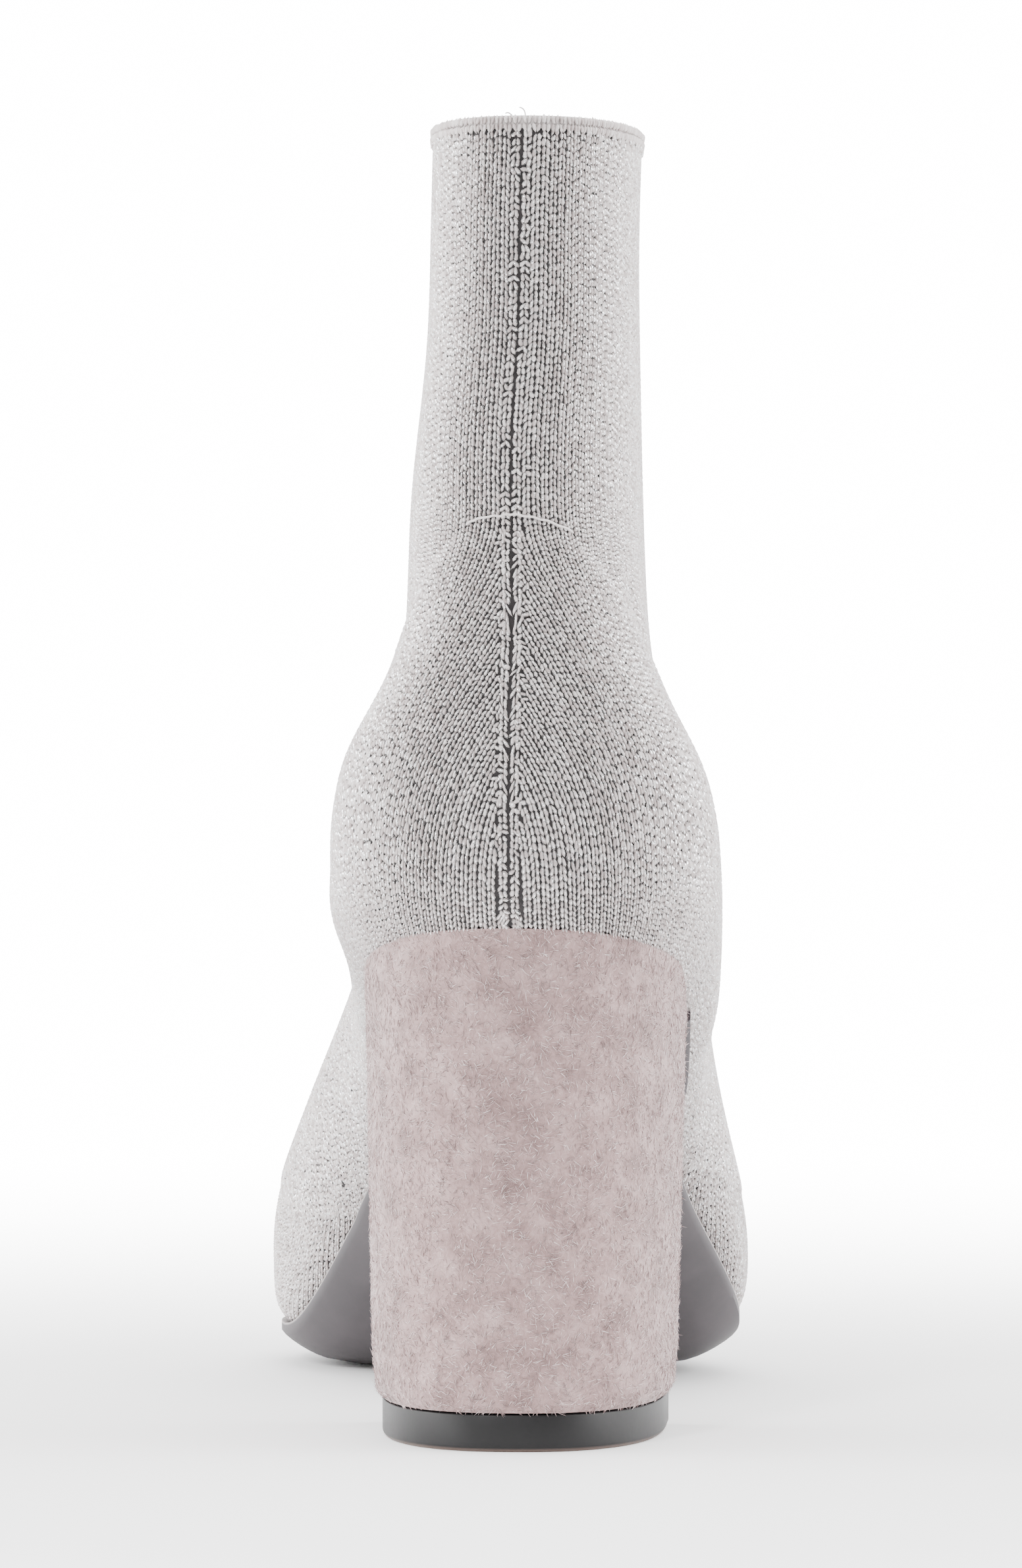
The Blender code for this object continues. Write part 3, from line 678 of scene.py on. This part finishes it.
def knit_lines(points):
    """Lengths across and along the wales on one side of the leg.

    Across: the length from the back seam seen from above, less the lean gathered so far.
    Along: the length down from the collar, with the courses kept square to leaning wales.
    """
    across = length_along(points, 1, flat=True)
    below = length_along(points[::-1], 0)[::-1]
    lean = LEAN_SLOPE * ease((below - LEAN_START[0]) / LEAN_START[1])
    lean = lean * (1.0 - ease((below - LEAN_END[0]) / LEAN_END[1]))
    middle = (lean[1:] + lean[:-1]) / 2 * -np.diff(below, axis=0)
    shift = np.concatenate([np.cumsum(middle[::-1], axis=0)[::-1], np.zeros((1, points.shape[1]))])
    near = 1.0 / (1.0 + (across / 0.090) ** 2)
    square = 0.010 * np.tanh(across / 0.010)
    wale = across - shift * near
    return wale, -below - lean * square + uneven(wale), across


def uneven(wale):
    """Small rises and falls of the courses from wale to wale: two waves of other lengths."""
    turn = 2 * np.pi * wale / WALE
    return COURSE * (0.24 * np.sin(turn / 2.7) + 0.22 * np.sin(turn / 5.3 + 1.0))


def toe_grid(points, stations, girths):
    """The toe panel's cloth on one side: cross-sections at fixed stations, from ridge to sole."""
    grid = np.empty((len(stations), len(girths), 3))
    nose = np.argmax(points[:, -1, 1])
    ridge = points[nose:, -1][::-1]
    for row, station in enumerate(stations):
        reached = points[:, -1, 1] >= station
        lines = points[reached]
        x = np.array([np.interp(station, line[:, 1], line[:, 0]) for line in lines])
        z = np.array([np.interp(station, line[:, 1], line[:, 2]) for line in lines])
        profile = np.stack([x, np.full_like(x, station), z], axis=1)[::-1]
        top = np.array([np.interp(station, ridge[:, 1], ridge[:, k]) for k in range(3)])
        top[1] = station
        profile = np.concatenate([top[None], profile])
        run = np.concatenate([[0], np.cumsum(np.linalg.norm(np.diff(profile, axis=0), axis=1))])
        for k in range(3):
            grid[row, :, k] = np.interp(girths * run[-1], run, profile[:, k])
    return grid


def grid_normals(grid, sign):
    """Unit normals of an open grid."""
    normals = np.cross(np.gradient(grid, axis=1), np.gradient(grid, axis=0)) * sign
    return normals / np.maximum(np.linalg.norm(normals, axis=-1, keepdims=True), 1e-12)


# Where the first wale lies, in wales from the line that they are counted from
WALE_START = 0.58
SEAM_START = 0.60
RIDGE_START = -0.06
HEM_START = (0.5, 0.42)

# A wale is left out where it would lie this near to the seam's own column, or in wales to the
# column on the front ridge
SEAM_CLEAR = 0.72
RIDGE_CLEAR = 0.35

# Above this height the knit is the shaft, and behind this station it lies on the counter
SHAFT_START = 0.163
COUNTER_END = 0.078

# How much legs turn at random, in radians: near the back seam, elsewhere and in the hem
JUMBLE = {"seam": 0.38, "cloth": 0.05, "hem": 0.1}


def leg_stitches(points, facing, number):
    """Stitches of the leg on one side, with a column of their own at the seam and the ridge."""
    u, v, girth = knit_lines(points)
    front = girth[:, -1:] - girth
    extra = {"girth": girth, "front": front}
    spacing = WALE, COURSE
    found = lattice(points, facing, u, v, spacing, (WALE_START, 0.37 * number), extra)
    clear = (found["girth"] > SEAM_CLEAR * SEAM_COLUMN) & (found["front"] > RIDGE_CLEAR * WALE)
    column = lattice(points, facing, girth, v, spacing, (SEAM_START, 0.81 * number), extra)
    parts = [pick(found, clear), pick(column, column["girth"] < SEAM_COLUMN)]
    if number == 0:
        ridge = lattice(points, facing, -front, v, spacing, (RIDGE_START, 0.0), extra)
        parts.append(pick(ridge, ridge["front"] < 0.5 * WALE))
    found = joined(parts)
    under_hem = found["place"][:, 2] < COLLAR_HEIGHT - HEM_HEIGHT + 0.0007
    rim = slice(FINE_ROWS - RIM_ROWS, None)
    below = v[rim] - uneven(u[rim])
    extra = {"girth": girth[rim]}
    hem = lattice(points[rim], facing[rim], girth[rim], below, (WALE, HEM_COURSE), HEM_START, extra)
    hem = pick(hem, hem["place"][:, 2] > COLLAR_HEIGHT - HEM_HEIGHT + 0.0004)
    return pick(found, (seam_rise(found["place"]) > 0.0) & under_hem), hem, girth


def toe_stitches(points, side, number):
    """Stitches of the toe panel on one side: courses across the foot, wales towards the toe."""
    leave = PANEL_SEAM_FOOT[side] * FOOT_LENGTH - 0.010
    tip = points[:, -1, 1].max() - 0.00002
    stations = leave + (tip - leave) * np.sin(np.linspace(0.0, np.pi / 2, 330))
    toe = toe_grid(points[::2], stations, np.linspace(0.0, 1.0, 190))
    facing = grid_normals(toe, 1.0 if side == "outer" else -1.0)
    u = length_along(toe, 1)
    v = length_along(toe, 0)
    v = v[np.searchsorted(stations, TOE_START)] - v + uneven(u)
    extra = {"girth": u + 1.0, "front": u}
    found = lattice(toe, facing, u, v, (WALE, COURSE), (0.5, 0.3 * number), extra)
    return pick(found, seam_rise(found["place"]) < 0.0009)


def add_upper(loops, materials, rng):
    """The knitted upper: a closed cloth shell and all its stitches."""
    normals = outward_normals(loops)
    build_cloth(loops, normals, materials)
    count = loops.shape[1]
    order = np.arange(FINE_COLUMNS)
    found, sides = {"leg": [], "hem": [], "toe": []}, {}
    for number, (side, sign) in enumerate((("outer", 1), ("inner", -1))):
        columns = (sign * order) % count
        points, facing = loops[:, columns], normals[:, columns]
        leg, hem, girth = leg_stitches(points, facing, number)
        sides[side] = points, facing, girth
        for key, stitches in (("leg", leg), ("hem", hem), ("toe", toe_stitches(points, side, number))):
            stitches["across"] = stitches["across"] * sign
            found[key].append(stitches)
    leg, hem, toe = (joined(found[key]) for key in ("leg", "hem", "toe"))
    hem["place"] = hem["place"] + hem["normal"] * 0.0001
    jumble = np.full(len(hem["place"]), JUMBLE["hem"])
    piece = stitch_piece("collar_hem", hem, materials["plain"], rng, flip=True, jumble=jumble)
    finish_piece(piece)
    add_threads(sides, materials["plain"])
    station, height = leg["place"][:, 1], leg["place"][:, 2]
    outer = leg["place"][:, 0] > centre_line(station)
    shaft, counter = height > SHAFT_START, station < COUNTER_END
    regions = {
        "knit_shaft": pick(leg, shaft),
        "knit_counter": pick(leg, ~shaft & counter),
        "knit_quarter_outer": pick(leg, ~shaft & ~counter & outer),
        "knit_quarter_inner": pick(leg, ~shaft & ~counter & ~outer),
        "knit_toe_panel": toe,
    }
    for name, stitches in regions.items():
        near_seam = stitches["girth"] < 1.4 * SEAM_COLUMN
        jumble = np.where(near_seam, JUMBLE["seam"], JUMBLE["cloth"])
        finish_piece(stitch_piece(name, stitches, materials["yarn"], rng, jumble=jumble))


def build_cloth(loops, normals, materials):
    """The cloth under the stitches: outer face, rolled rim, lining and lasted margin."""
    rows = np.unique(np.round(np.linspace(0, FINE_ROWS - 1, 125)).astype(int))
    columns = np.arange(0, loops.shape[1], 4)
    outside = (loops - normals * YARN * 0.55)[rows][:, columns]
    inside = (loops - normals * WALL)[rows[::-1][:: 2]][:, columns]
    inside = inside[inside[:, 0, 2] > SEAT_HEIGHT + 0.004]
    inside[0, :, 2] = COLLAR_HEIGHT - 0.0004
    flat = loops[0][columns]
    outside[0] = drawn_loop(flat, 0.0004, JOIN_GAP)
    margin_top = JOIN_GAP + LASTING_THICKNESS
    margin = [drawn_loop(flat, inward, margin_top) for inward in (WALL, LASTING_WIDTH / 2, LASTING_WIDTH)]
    margin += [drawn_loop(flat, inward, JOIN_GAP) for inward in (LASTING_WIDTH, LASTING_WIDTH / 2)]
    stack = np.concatenate([outside, inside, np.array(margin)])
    vertices = stack.reshape(-1, 3).copy()
    vertices[:, 1] -= ORIGIN
    quads = grid_quads(len(stack), len(columns), close_rows=True)
    # the outer face below the hem is near black: painted shade seen between the stitches; the rest is the
    # lining
    piece = mesh_piece("knit_cloth", vertices, quads.ravel(), np.full(len(quads), 4), materials["ground"])
    piece.data.materials.append(materials["lining"])
    row_of_face = np.arange(len(quads)) // len(columns)
    under_hem = outside[:, 0, 2].searchsorted(COLLAR_HEIGHT - HEM_HEIGHT)
    index = (row_of_face >= under_hem).astype(np.int32)
    piece.data.polygons.foreach_set("material_index", index)
    finish_piece(piece)
    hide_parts("upper")


def finish_piece(piece):
    """Every piece rides on the boot's only body."""
    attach(piece, "root")


def nap_piece(heel, material, rng, count=32000):
    """Loose suede fibres over the heel: thin four-sided spikes that lie in swirls."""
    mesh = heel.data
    mesh.calc_loop_triangles()
    corners = np.empty(len(mesh.loop_triangles) * 3, dtype=np.int32)
    mesh.loop_triangles.foreach_get("vertices", corners)
    points = np.empty(len(mesh.vertices) * 3, dtype=np.float32)
    mesh.vertices.foreach_get("co", points)
    triangles = points.reshape(-1, 3).astype(float)[corners.reshape(-1, 3)]
    edge_a, edge_b = triangles[:, 1] - triangles[:, 0], triangles[:, 2] - triangles[:, 0]
    normal = np.cross(edge_a, edge_b)
    area = np.linalg.norm(normal, axis=1)
    normal /= np.maximum(area, 1e-15)[:, None]
    upright = np.where(np.abs(normal[:, 2]) < 0.75, 1.0, 0.0)
    chance = np.cumsum(area * upright)
    chosen = np.searchsorted(chance / chance[-1], rng.random(count))
    a, b = rng.random((2, count))
    fold = a + b > 1
    a, b = np.where(fold, 1 - a, a), np.where(fold, 1 - b, b)
    root = triangles[chosen, 0] + a[:, None] * edge_a[chosen] + b[:, None] * edge_b[chosen]
    out = normal[chosen]
    x, y, z = root.T
    angle = 2.2 * np.sin(z * 210 + 3 * np.sin(x * 260)) + 1.6 * np.sin(x * 330 + y * 290)
    angle += rng.normal(0.0, 0.7, count)
    level = np.cross(np.array([0.0, 0.0, 1.0]), out)
    level /= np.maximum(np.linalg.norm(level, axis=1, keepdims=True), 1e-12)
    rise = np.cross(out, level)
    lie = np.cos(angle)[:, None] * level + np.sin(angle)[:, None] * rise
    side = np.cross(out, lie)
    length = rng.uniform(0.0008, 0.0018, count)[:, None]
    width = rng.uniform(0.00005, 0.00010, count)[:, None]
    lift = rng.uniform(0.08, 0.45, count)[:, None] ** 1.3
    base = root - out * 0.00005
    tip = root + lie * length + out * length * lift
    vertices = np.stack([base - side * width, base + side * width, base + out * width * 1.6, tip], axis=1)
    start = (np.arange(count) * 4)[:, None]
    faces = (start + np.array([0, 1, 2, 1, 0, 3, 2, 1, 3, 0, 2, 3])).ravel()
    strand = np.zeros((count, 4, 3))
    strand[..., 2] = rng.random(count)[:, None]
    attributes = {"strand": strand.reshape(-1, 3)}
    return mesh_piece("heel_nap", vertices.reshape(-1, 3), faces, np.full(count * 4, 3), material, attributes)


SOLE_COLUMNS = 170

# Profile of the outsole from the middle of its underside round its edge to the middle of its
# top: how far inward of the upper's edge, how far down as a share of the thickness, and how
# much of its paler colour shows, a highlight painted along the top of its edge
SOLE_PROFILE = (
    (.0272, 1.0, 0), (.022, 1.0, 0), (.015, 1.0, 0), (.009, 1.0, 0), (.0045, 1.0, 0), (.0032, .97, 0),
    (.0020, .90, 0), (.0010, .82, 0), (.0000, .72, 0), (-.0008, .61, 0), (-SOLE_EDGE, .50, 0),
    (-SOLE_EDGE, .20, .2), (-SOLE_EDGE, .05, 1.0), (-.0010, .00, 1.0), (.0, .0, .4),
    (.0045, .0, 0), (.009, .0, 0), (.0272, .0, 0),
)


def sole_loop(flat, inward, drop):
    """A loop of the outsole: the drawn lower edge, cut straight across at the heel's front."""
    rear = HEEL_INSET + HEEL_DEPTH + JOIN_GAP
    whole = drawn_loop(flat, inward, 0.0)
    half = len(flat) // 2
    spread = 1 - inward / (COUNTER_WIDTH / 2 * UPPER_SECTIONS[0][UPPER_COLUMNS.index("heel")])
    share = np.linspace(0.0, 1.0, SOLE_COLUMNS)
    sides = []
    for side in (whole[:half + 1], np.concatenate([whole[:1], whole[:half - 1:-1]])):
        front = side[-1, 1]
        station = rear + (front - rear) * np.sin(share * np.pi / 2)
        run = np.arange(len(side))
        at = np.interp(station, side[:, 1], run)
        line = np.stack([np.interp(at, run, side[:, k]) for k in range(3)], axis=1)
        line[:, 2] = sole_height(line[:, 1], line[:, 0], spread)
        start = np.array([[centre_line(rear), rear, 0.0]])
        start[:, 2] = sole_height(start[:, 1], start[:, 0], 0.0)
        sides.append(np.concatenate([start, line]))
    loop = join_sides(sides[0], sides[1])
    loop[:, 2] -= drop
    return loop


def merged(piece):
    """Joins points that lie on each other and turns all faces outward."""
    work = bmesh.new()
    work.from_mesh(piece.data)
    bmesh.ops.remove_doubles(work, verts=work.verts, dist=2e-6)
    bmesh.ops.recalc_face_normals(work, faces=work.faces)
    work.to_mesh(piece.data)
    work.free()
    return piece


def loft_piece(name, loops, material, painted_highlight=None, sharp=40):
    """A closed piece from a stack of loops, each end closed by quads between its two sides."""
    rows, count = loops.shape[:2]
    quads = grid_quads(rows, count, close_rows=False)
    point = np.arange(count // 2)
    cap = np.stack([point, point + 1, count - point - 1, (count - point) % count], axis=1)
    quads = np.concatenate([quads, cap[:, ::-1], cap + (rows - 1) * count])
    vertices = loops.reshape(-1, 3).copy()
    vertices[:, 1] -= ORIGIN
    attributes = None
    # row by row, how much of the painted highlight on the outsole's edge shows
    if painted_highlight is not None:
        attributes = {"painted_highlight": np.repeat(painted_highlight, count)[:, None] * np.ones(3)}
    piece = mesh_piece(name, vertices, quads.ravel(), np.full(len(quads), 4), material, attributes)
    merged(piece)
    piece.data.set_sharp_from_angle(angle=np.radians(sharp))
    return piece


def add_outsole(flat, material):
    """The outsole of the CAD model with more points round its edge, so that it bends smoothly."""
    loops = np.array([sole_loop(flat, inward, drop * SOLE_THICKNESS) for inward, drop, _ in SOLE_PROFILE])
    piece = loft_piece("outsole_sheet", loops, material, [row[2] for row in SOLE_PROFILE])
    finish_piece(piece)
    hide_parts("outsole")


def heel_loop(level, points=72):
    """Plan of the heel at a level from 0 at its foot to 1 at the seat.

    Each side is a superellipse from the back to its widest place, then straight to the front.
    """
    levels = HEEL_SECTIONS[:, 0]
    width, inset, depth, power = (np.interp(level, levels, column) for column in HEEL_SECTIONS.T[1:])
    distance = np.linspace(0.0, 1.0, points) ** 2 * depth * HEEL_DEPTH
    across = width * HEEL_WIDTH / 2 * rounded(distance, HEEL_ROUND, power)
    inset = inset * HEEL_INSET
    sides = []
    for sign in (1.0, -1.0):
        side = np.stack([sign * across, inset + distance, np.zeros(points)], axis=1)
        front = np.array([[0.0, inset + depth * HEEL_DEPTH, 0.0]])
        sides.append(np.concatenate([side, front]))
    return join_sides(*sides)


def add_heel(material):
    """The covered block heel: the CAD's sections, with smooth steps between them."""
    foot = TOP_PIECE_THICKNESS + JOIN_GAP
    loops = []
    for level in (0.0, 0.006, 0.02, 0.05, *np.linspace(0.10, 1.0, 40)):
        loop = heel_loop(level)
        loop[:, 2] = foot + level * (sole_height(loop[:, 1], loop[:, 0]) - foot)
        loops.append(loop)
    piece = loft_piece("heel_suede", np.array(loops), material)
    finish_piece(piece)
    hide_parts("heel")
    return piece


def add_top_piece(material):
    """The hard plate under the heel: its lower edge is rounded by a quarter circle."""
    plan = heel_loop(0.0)
    centre = plan[:, :2].mean(axis=0)
    loops = []
    turns = np.linspace(0.0, np.pi / 2, 7)
    profile = [(1 - np.sin(turn), 1 - np.cos(turn)) for turn in turns]
    top = TOP_PIECE_THICKNESS / TOP_PIECE_ROUND
    profile += [(0.0, top - 0.3), (0.15, top - 0.08), (0.4, top)]
    for inward, height in profile:
        loop = plan.copy()
        loop[:, :2] = centre + (plan[:, :2] - centre) * (1 - inward * TOP_PIECE_ROUND / (HEEL_WIDTH / 2))
        loop[:, 2] = height * TOP_PIECE_ROUND
        loops.append(loop)
    piece = loft_piece("top_piece_plate", np.array(loops), material)
    finish_piece(piece)
    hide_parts("top_piece")


def thread_piece(name, path, radius, material, sides=8):
    """A thread: circles carried along a path of points, and narrowed to nothing at both ends."""
    path = np.asarray(path, float)
    ahead = np.gradient(path, axis=0)
    ahead /= np.linalg.norm(ahead, axis=1, keepdims=True)
    up = np.array([0.05, -0.3, 1.0])
    side = np.cross(ahead, up)
    side /= np.linalg.norm(side, axis=1, keepdims=True)
    rise = np.cross(side, ahead)
    turn = np.linspace(0.0, 2 * np.pi, sides, endpoint=False)
    girth = np.full(len(path), radius)
    girth[[0, -1]] = radius * 0.15
    ring = np.cos(turn)[None, :, None] * side[:, None] + np.sin(turn)[None, :, None] * rise[:, None]
    loops = path[:, None] + ring * girth[:, None, None]
    strand = np.zeros((*loops.shape[:2], 3))
    strand[..., 0] = turn / (2 * np.pi)
    strand[..., 1] = np.linspace(0.0, len(path) / 3, len(path))[:, None]
    strand[..., 2] = 0.8
    quads = grid_quads(len(path), sides, close_rows=False)
    point = np.arange(sides // 2)
    cap = np.stack([point, point + 1, sides - point - 1, (sides - point) % sides], axis=1)
    quads = np.concatenate([quads, cap[:, ::-1], cap + (len(path) - 1) * sides])
    vertices = loops.reshape(-1, 3)
    vertices[:, 1] -= ORIGIN
    attributes = {"strand": strand.reshape(-1, 3)}
    piece = mesh_piece(name, vertices, quads.ravel(), np.full(len(quads), 4), material, attributes)
    finish_piece(merged(piece))


# The seam that holds the top of the stiff counter: girth from the back seam and height, in
# millimetres, from the inner to the outer side
COUNTER_THREAD = (
    (-8.2, 161.5), (-6.5, 162.3), (-4.0, 162.8), (-1.5, 163.1), (0.0, 163.2), (2.5, 162.9),
    (5.0, 162.4), (8.0, 161.6), (11.8, 160.2),
)


def add_threads(sides, material):
    """The counter's seam thread, and two cut ends of yarn over the back seam at the rim."""
    knots = np.array(COUNTER_THREAD)
    run = np.linspace(0.0, len(knots) - 1, 70)
    girths = spline(np.arange(len(knots)), knots[:, 0], run) / 1000
    heights = spline(np.arange(len(knots)), knots[:, 1], run) / 1000 + 0.00012 * np.sin(run * 6.0)
    path = []
    for girth, height in zip(girths, heights):
        points, facing, run_length = sides["outer" if girth >= 0 else "inner"]
        miss = (run_length - abs(girth)) ** 2 + (points[..., 2] - height) ** 2
        nearest = np.unravel_index(np.argmin(miss), miss.shape)
        path.append(points[nearest] + facing[nearest] * 0.00042)
    path = np.array(path)
    for _ in range(3):
        path[1:-1] = (path[:-2] + 2 * path[1:-1] + path[2:]) / 4
    thread_piece("counter_seam_thread", path, 0.00020, material)
    rim = sides["outer"][0][-1, 0]
    along = np.linspace(0.0, 1.0, 14)[:, None]
    for number, (start, bend, end) in enumerate((
        ((0.4, -0.5, -1.2), (0.9, -1.2, 1.2), (-0.6, -0.9, 1.3)),
        ((-1.3, -0.6, -1.0), (-2.2, -1.1, 0.9), (-3.0, -0.8, 0.2)),
    )):
        start, bend, end = (rim + np.array(point) / 1000 for point in (start, bend, end))
        curve = (1 - along) ** 2 * start + 2 * along * (1 - along) * bend + along ** 2 * end
        thread_piece("loose_end_%d" % (number + 1), curve, 0.00013, material, sides=6)


def add_stage():
    """A pale floor that fades out, a white surround, soft lights and the photograph's camera."""
    material, tree, shader, place = new_material("studio_paper", {"Roughness": 0.9})
    colour = ramp(tree, noise(tree, place, 2.0), ((0.0, "#F7F7F7"), (1.0, "#FBFBFB")))
    tree.links.new(colour, shader.inputs["Base Color"])
    distance = add_node(tree, "ShaderNodeVectorMath", {0: place}, operation="LENGTH").outputs["Value"]
    fade = add_node(tree, "ShaderNodeMapRange", {
        "Value": distance, "From Min": 0.16, "From Max": 0.75, "To Min": 1.0, "To Max": 0.0,
    }, interpolation_type="SMOOTHSTEP")
    tree.links.new(fade.outputs[0], shader.inputs["Alpha"])
    size = 1.0
    corners = np.array([[-size, -size, 0], [size, -size, 0], [size, size, 0], [-size, size, 0]])
    floor = mesh_piece("floor", corners, np.arange(4), np.array([4]), material)

    world = bpy.data.worlds.new("studio")
    world.use_nodes = True
    background = world.node_tree.nodes["Background"]
    tree = world.node_tree
    toward = add_node(tree, "ShaderNodeTexCoord", {}).outputs["Generated"]
    parts = add_node(tree, "ShaderNodeSeparateXYZ", {"Vector": toward})
    bright = add_node(tree, "ShaderNodeMapRange", {
        "Value": parts.outputs["Y"], "From Min": -0.95, "From Max": 0.45, "To Min": 0.30, "To Max": 4.4,
    }, interpolation_type="SMOOTHSTEP")
    seen = add_node(tree, "ShaderNodeLightPath", {}).outputs["Is Camera Ray"]
    white = add_node(tree, "ShaderNodeMix", {0: seen, 2: bright.outputs[0], 3: 16.0})
    background.inputs["Color"].default_value = (1.0, 1.0, 1.0, 1.0)
    tree.links.new(white.outputs[0], background.inputs["Strength"])
    bpy.context.scene.world = world
    target = np.array([0.0, 0.05, 0.11])
    for name, spot, width, energy in (
        ("left_softbox", (-1.1, 0.0, 0.6), 0.8, 14.0),
        ("right_softbox", (1.1, 0.0, 0.6), 0.8, 14.0),
        ("low_softbox", (-0.9, -0.5, 0.15), 0.4, 3.0),
        ("top_softbox", (0.0, -0.2, 1.6), 0.9, 6.0),
        ("front_key", (-0.5, -1.3, 0.9), 0.25, 15.0),
    ):
        light = bpy.data.lights.new(name, "AREA")
        light.shape = "DISK"
        light.size = width
        light.energy = energy
        lamp = bpy.data.objects.new(name, light)
        lamp.location = spot
        aim(lamp, target - np.array(spot))
        bpy.context.scene.collection.objects.link(lamp)

    yaw = np.radians(3.5)
    forward = np.array([-np.sin(yaw), np.cos(yaw), 0.0])
    right = np.array([np.cos(yaw), np.sin(yaw), 0.0])
    camera = bpy.data.cameras.new("camera")
    camera.sensor_width = 36.0
    camera.lens = 36.0 * 11379 / 2380
    eye = bpy.data.objects.new("camera", camera)
    eye.location = -forward * 1.328 + np.array([0.0, 0.0, 0.140])
    aim(eye, forward - 0.001186 * right - 0.018104 * np.array([0.0, 0.0, 1.0]))
    bpy.context.scene.collection.objects.link(eye)
    bpy.context.scene.camera = eye


def aim(thing, direction):
    """Turns a light or camera to look along a direction, with its top upward."""
    thing.rotation_euler = Vector(direction).to_track_quat("-Z", "Y").to_euler()


def main():
    rng = np.random.default_rng(7)
    materials = {
        "yarn": yarn_material("stockinette_yarn_with_silver", "#CFC5C3", "#B3A8A6", 0.27),
        "plain": yarn_material("plain_hem_yarn", "#D3C9C7", "#C1B5B3", 0.0),
        # the ground's near-black colours are painted shade, the shadow between the stitches
        "ground": cloth_material("knit_ground_painted_shade", "#171415", "#2E2A2B"),
        "lining": cloth_material("knit_reverse_lining", "#B5ACAA", "#D6CFCD"),
    }
    add_stage()
    loops = upper_loops(FINE_ROWS, FINE_COLUMNS)
    add_upper(loops, materials, rng)
    # 96908F is a highlight painted along the top of the outsole's edge
    rubber = rubber_material("outsole_rubber_sheet", "#3A3639", "#4A4548", 0.55, 700.0, "#96908F")
    add_outsole(loops[0], rubber)
    add_top_piece(rubber_material("top_piece_polyurethane", "#0B0A0C", "#111012", 0.46, 900.0))
    heel = add_heel(suede_material())
    leather = insole_material()
    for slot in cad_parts["insole"].material_slots:
        slot.material = leather
    finish_piece(nap_piece(heel, nap_material(), rng))


main()
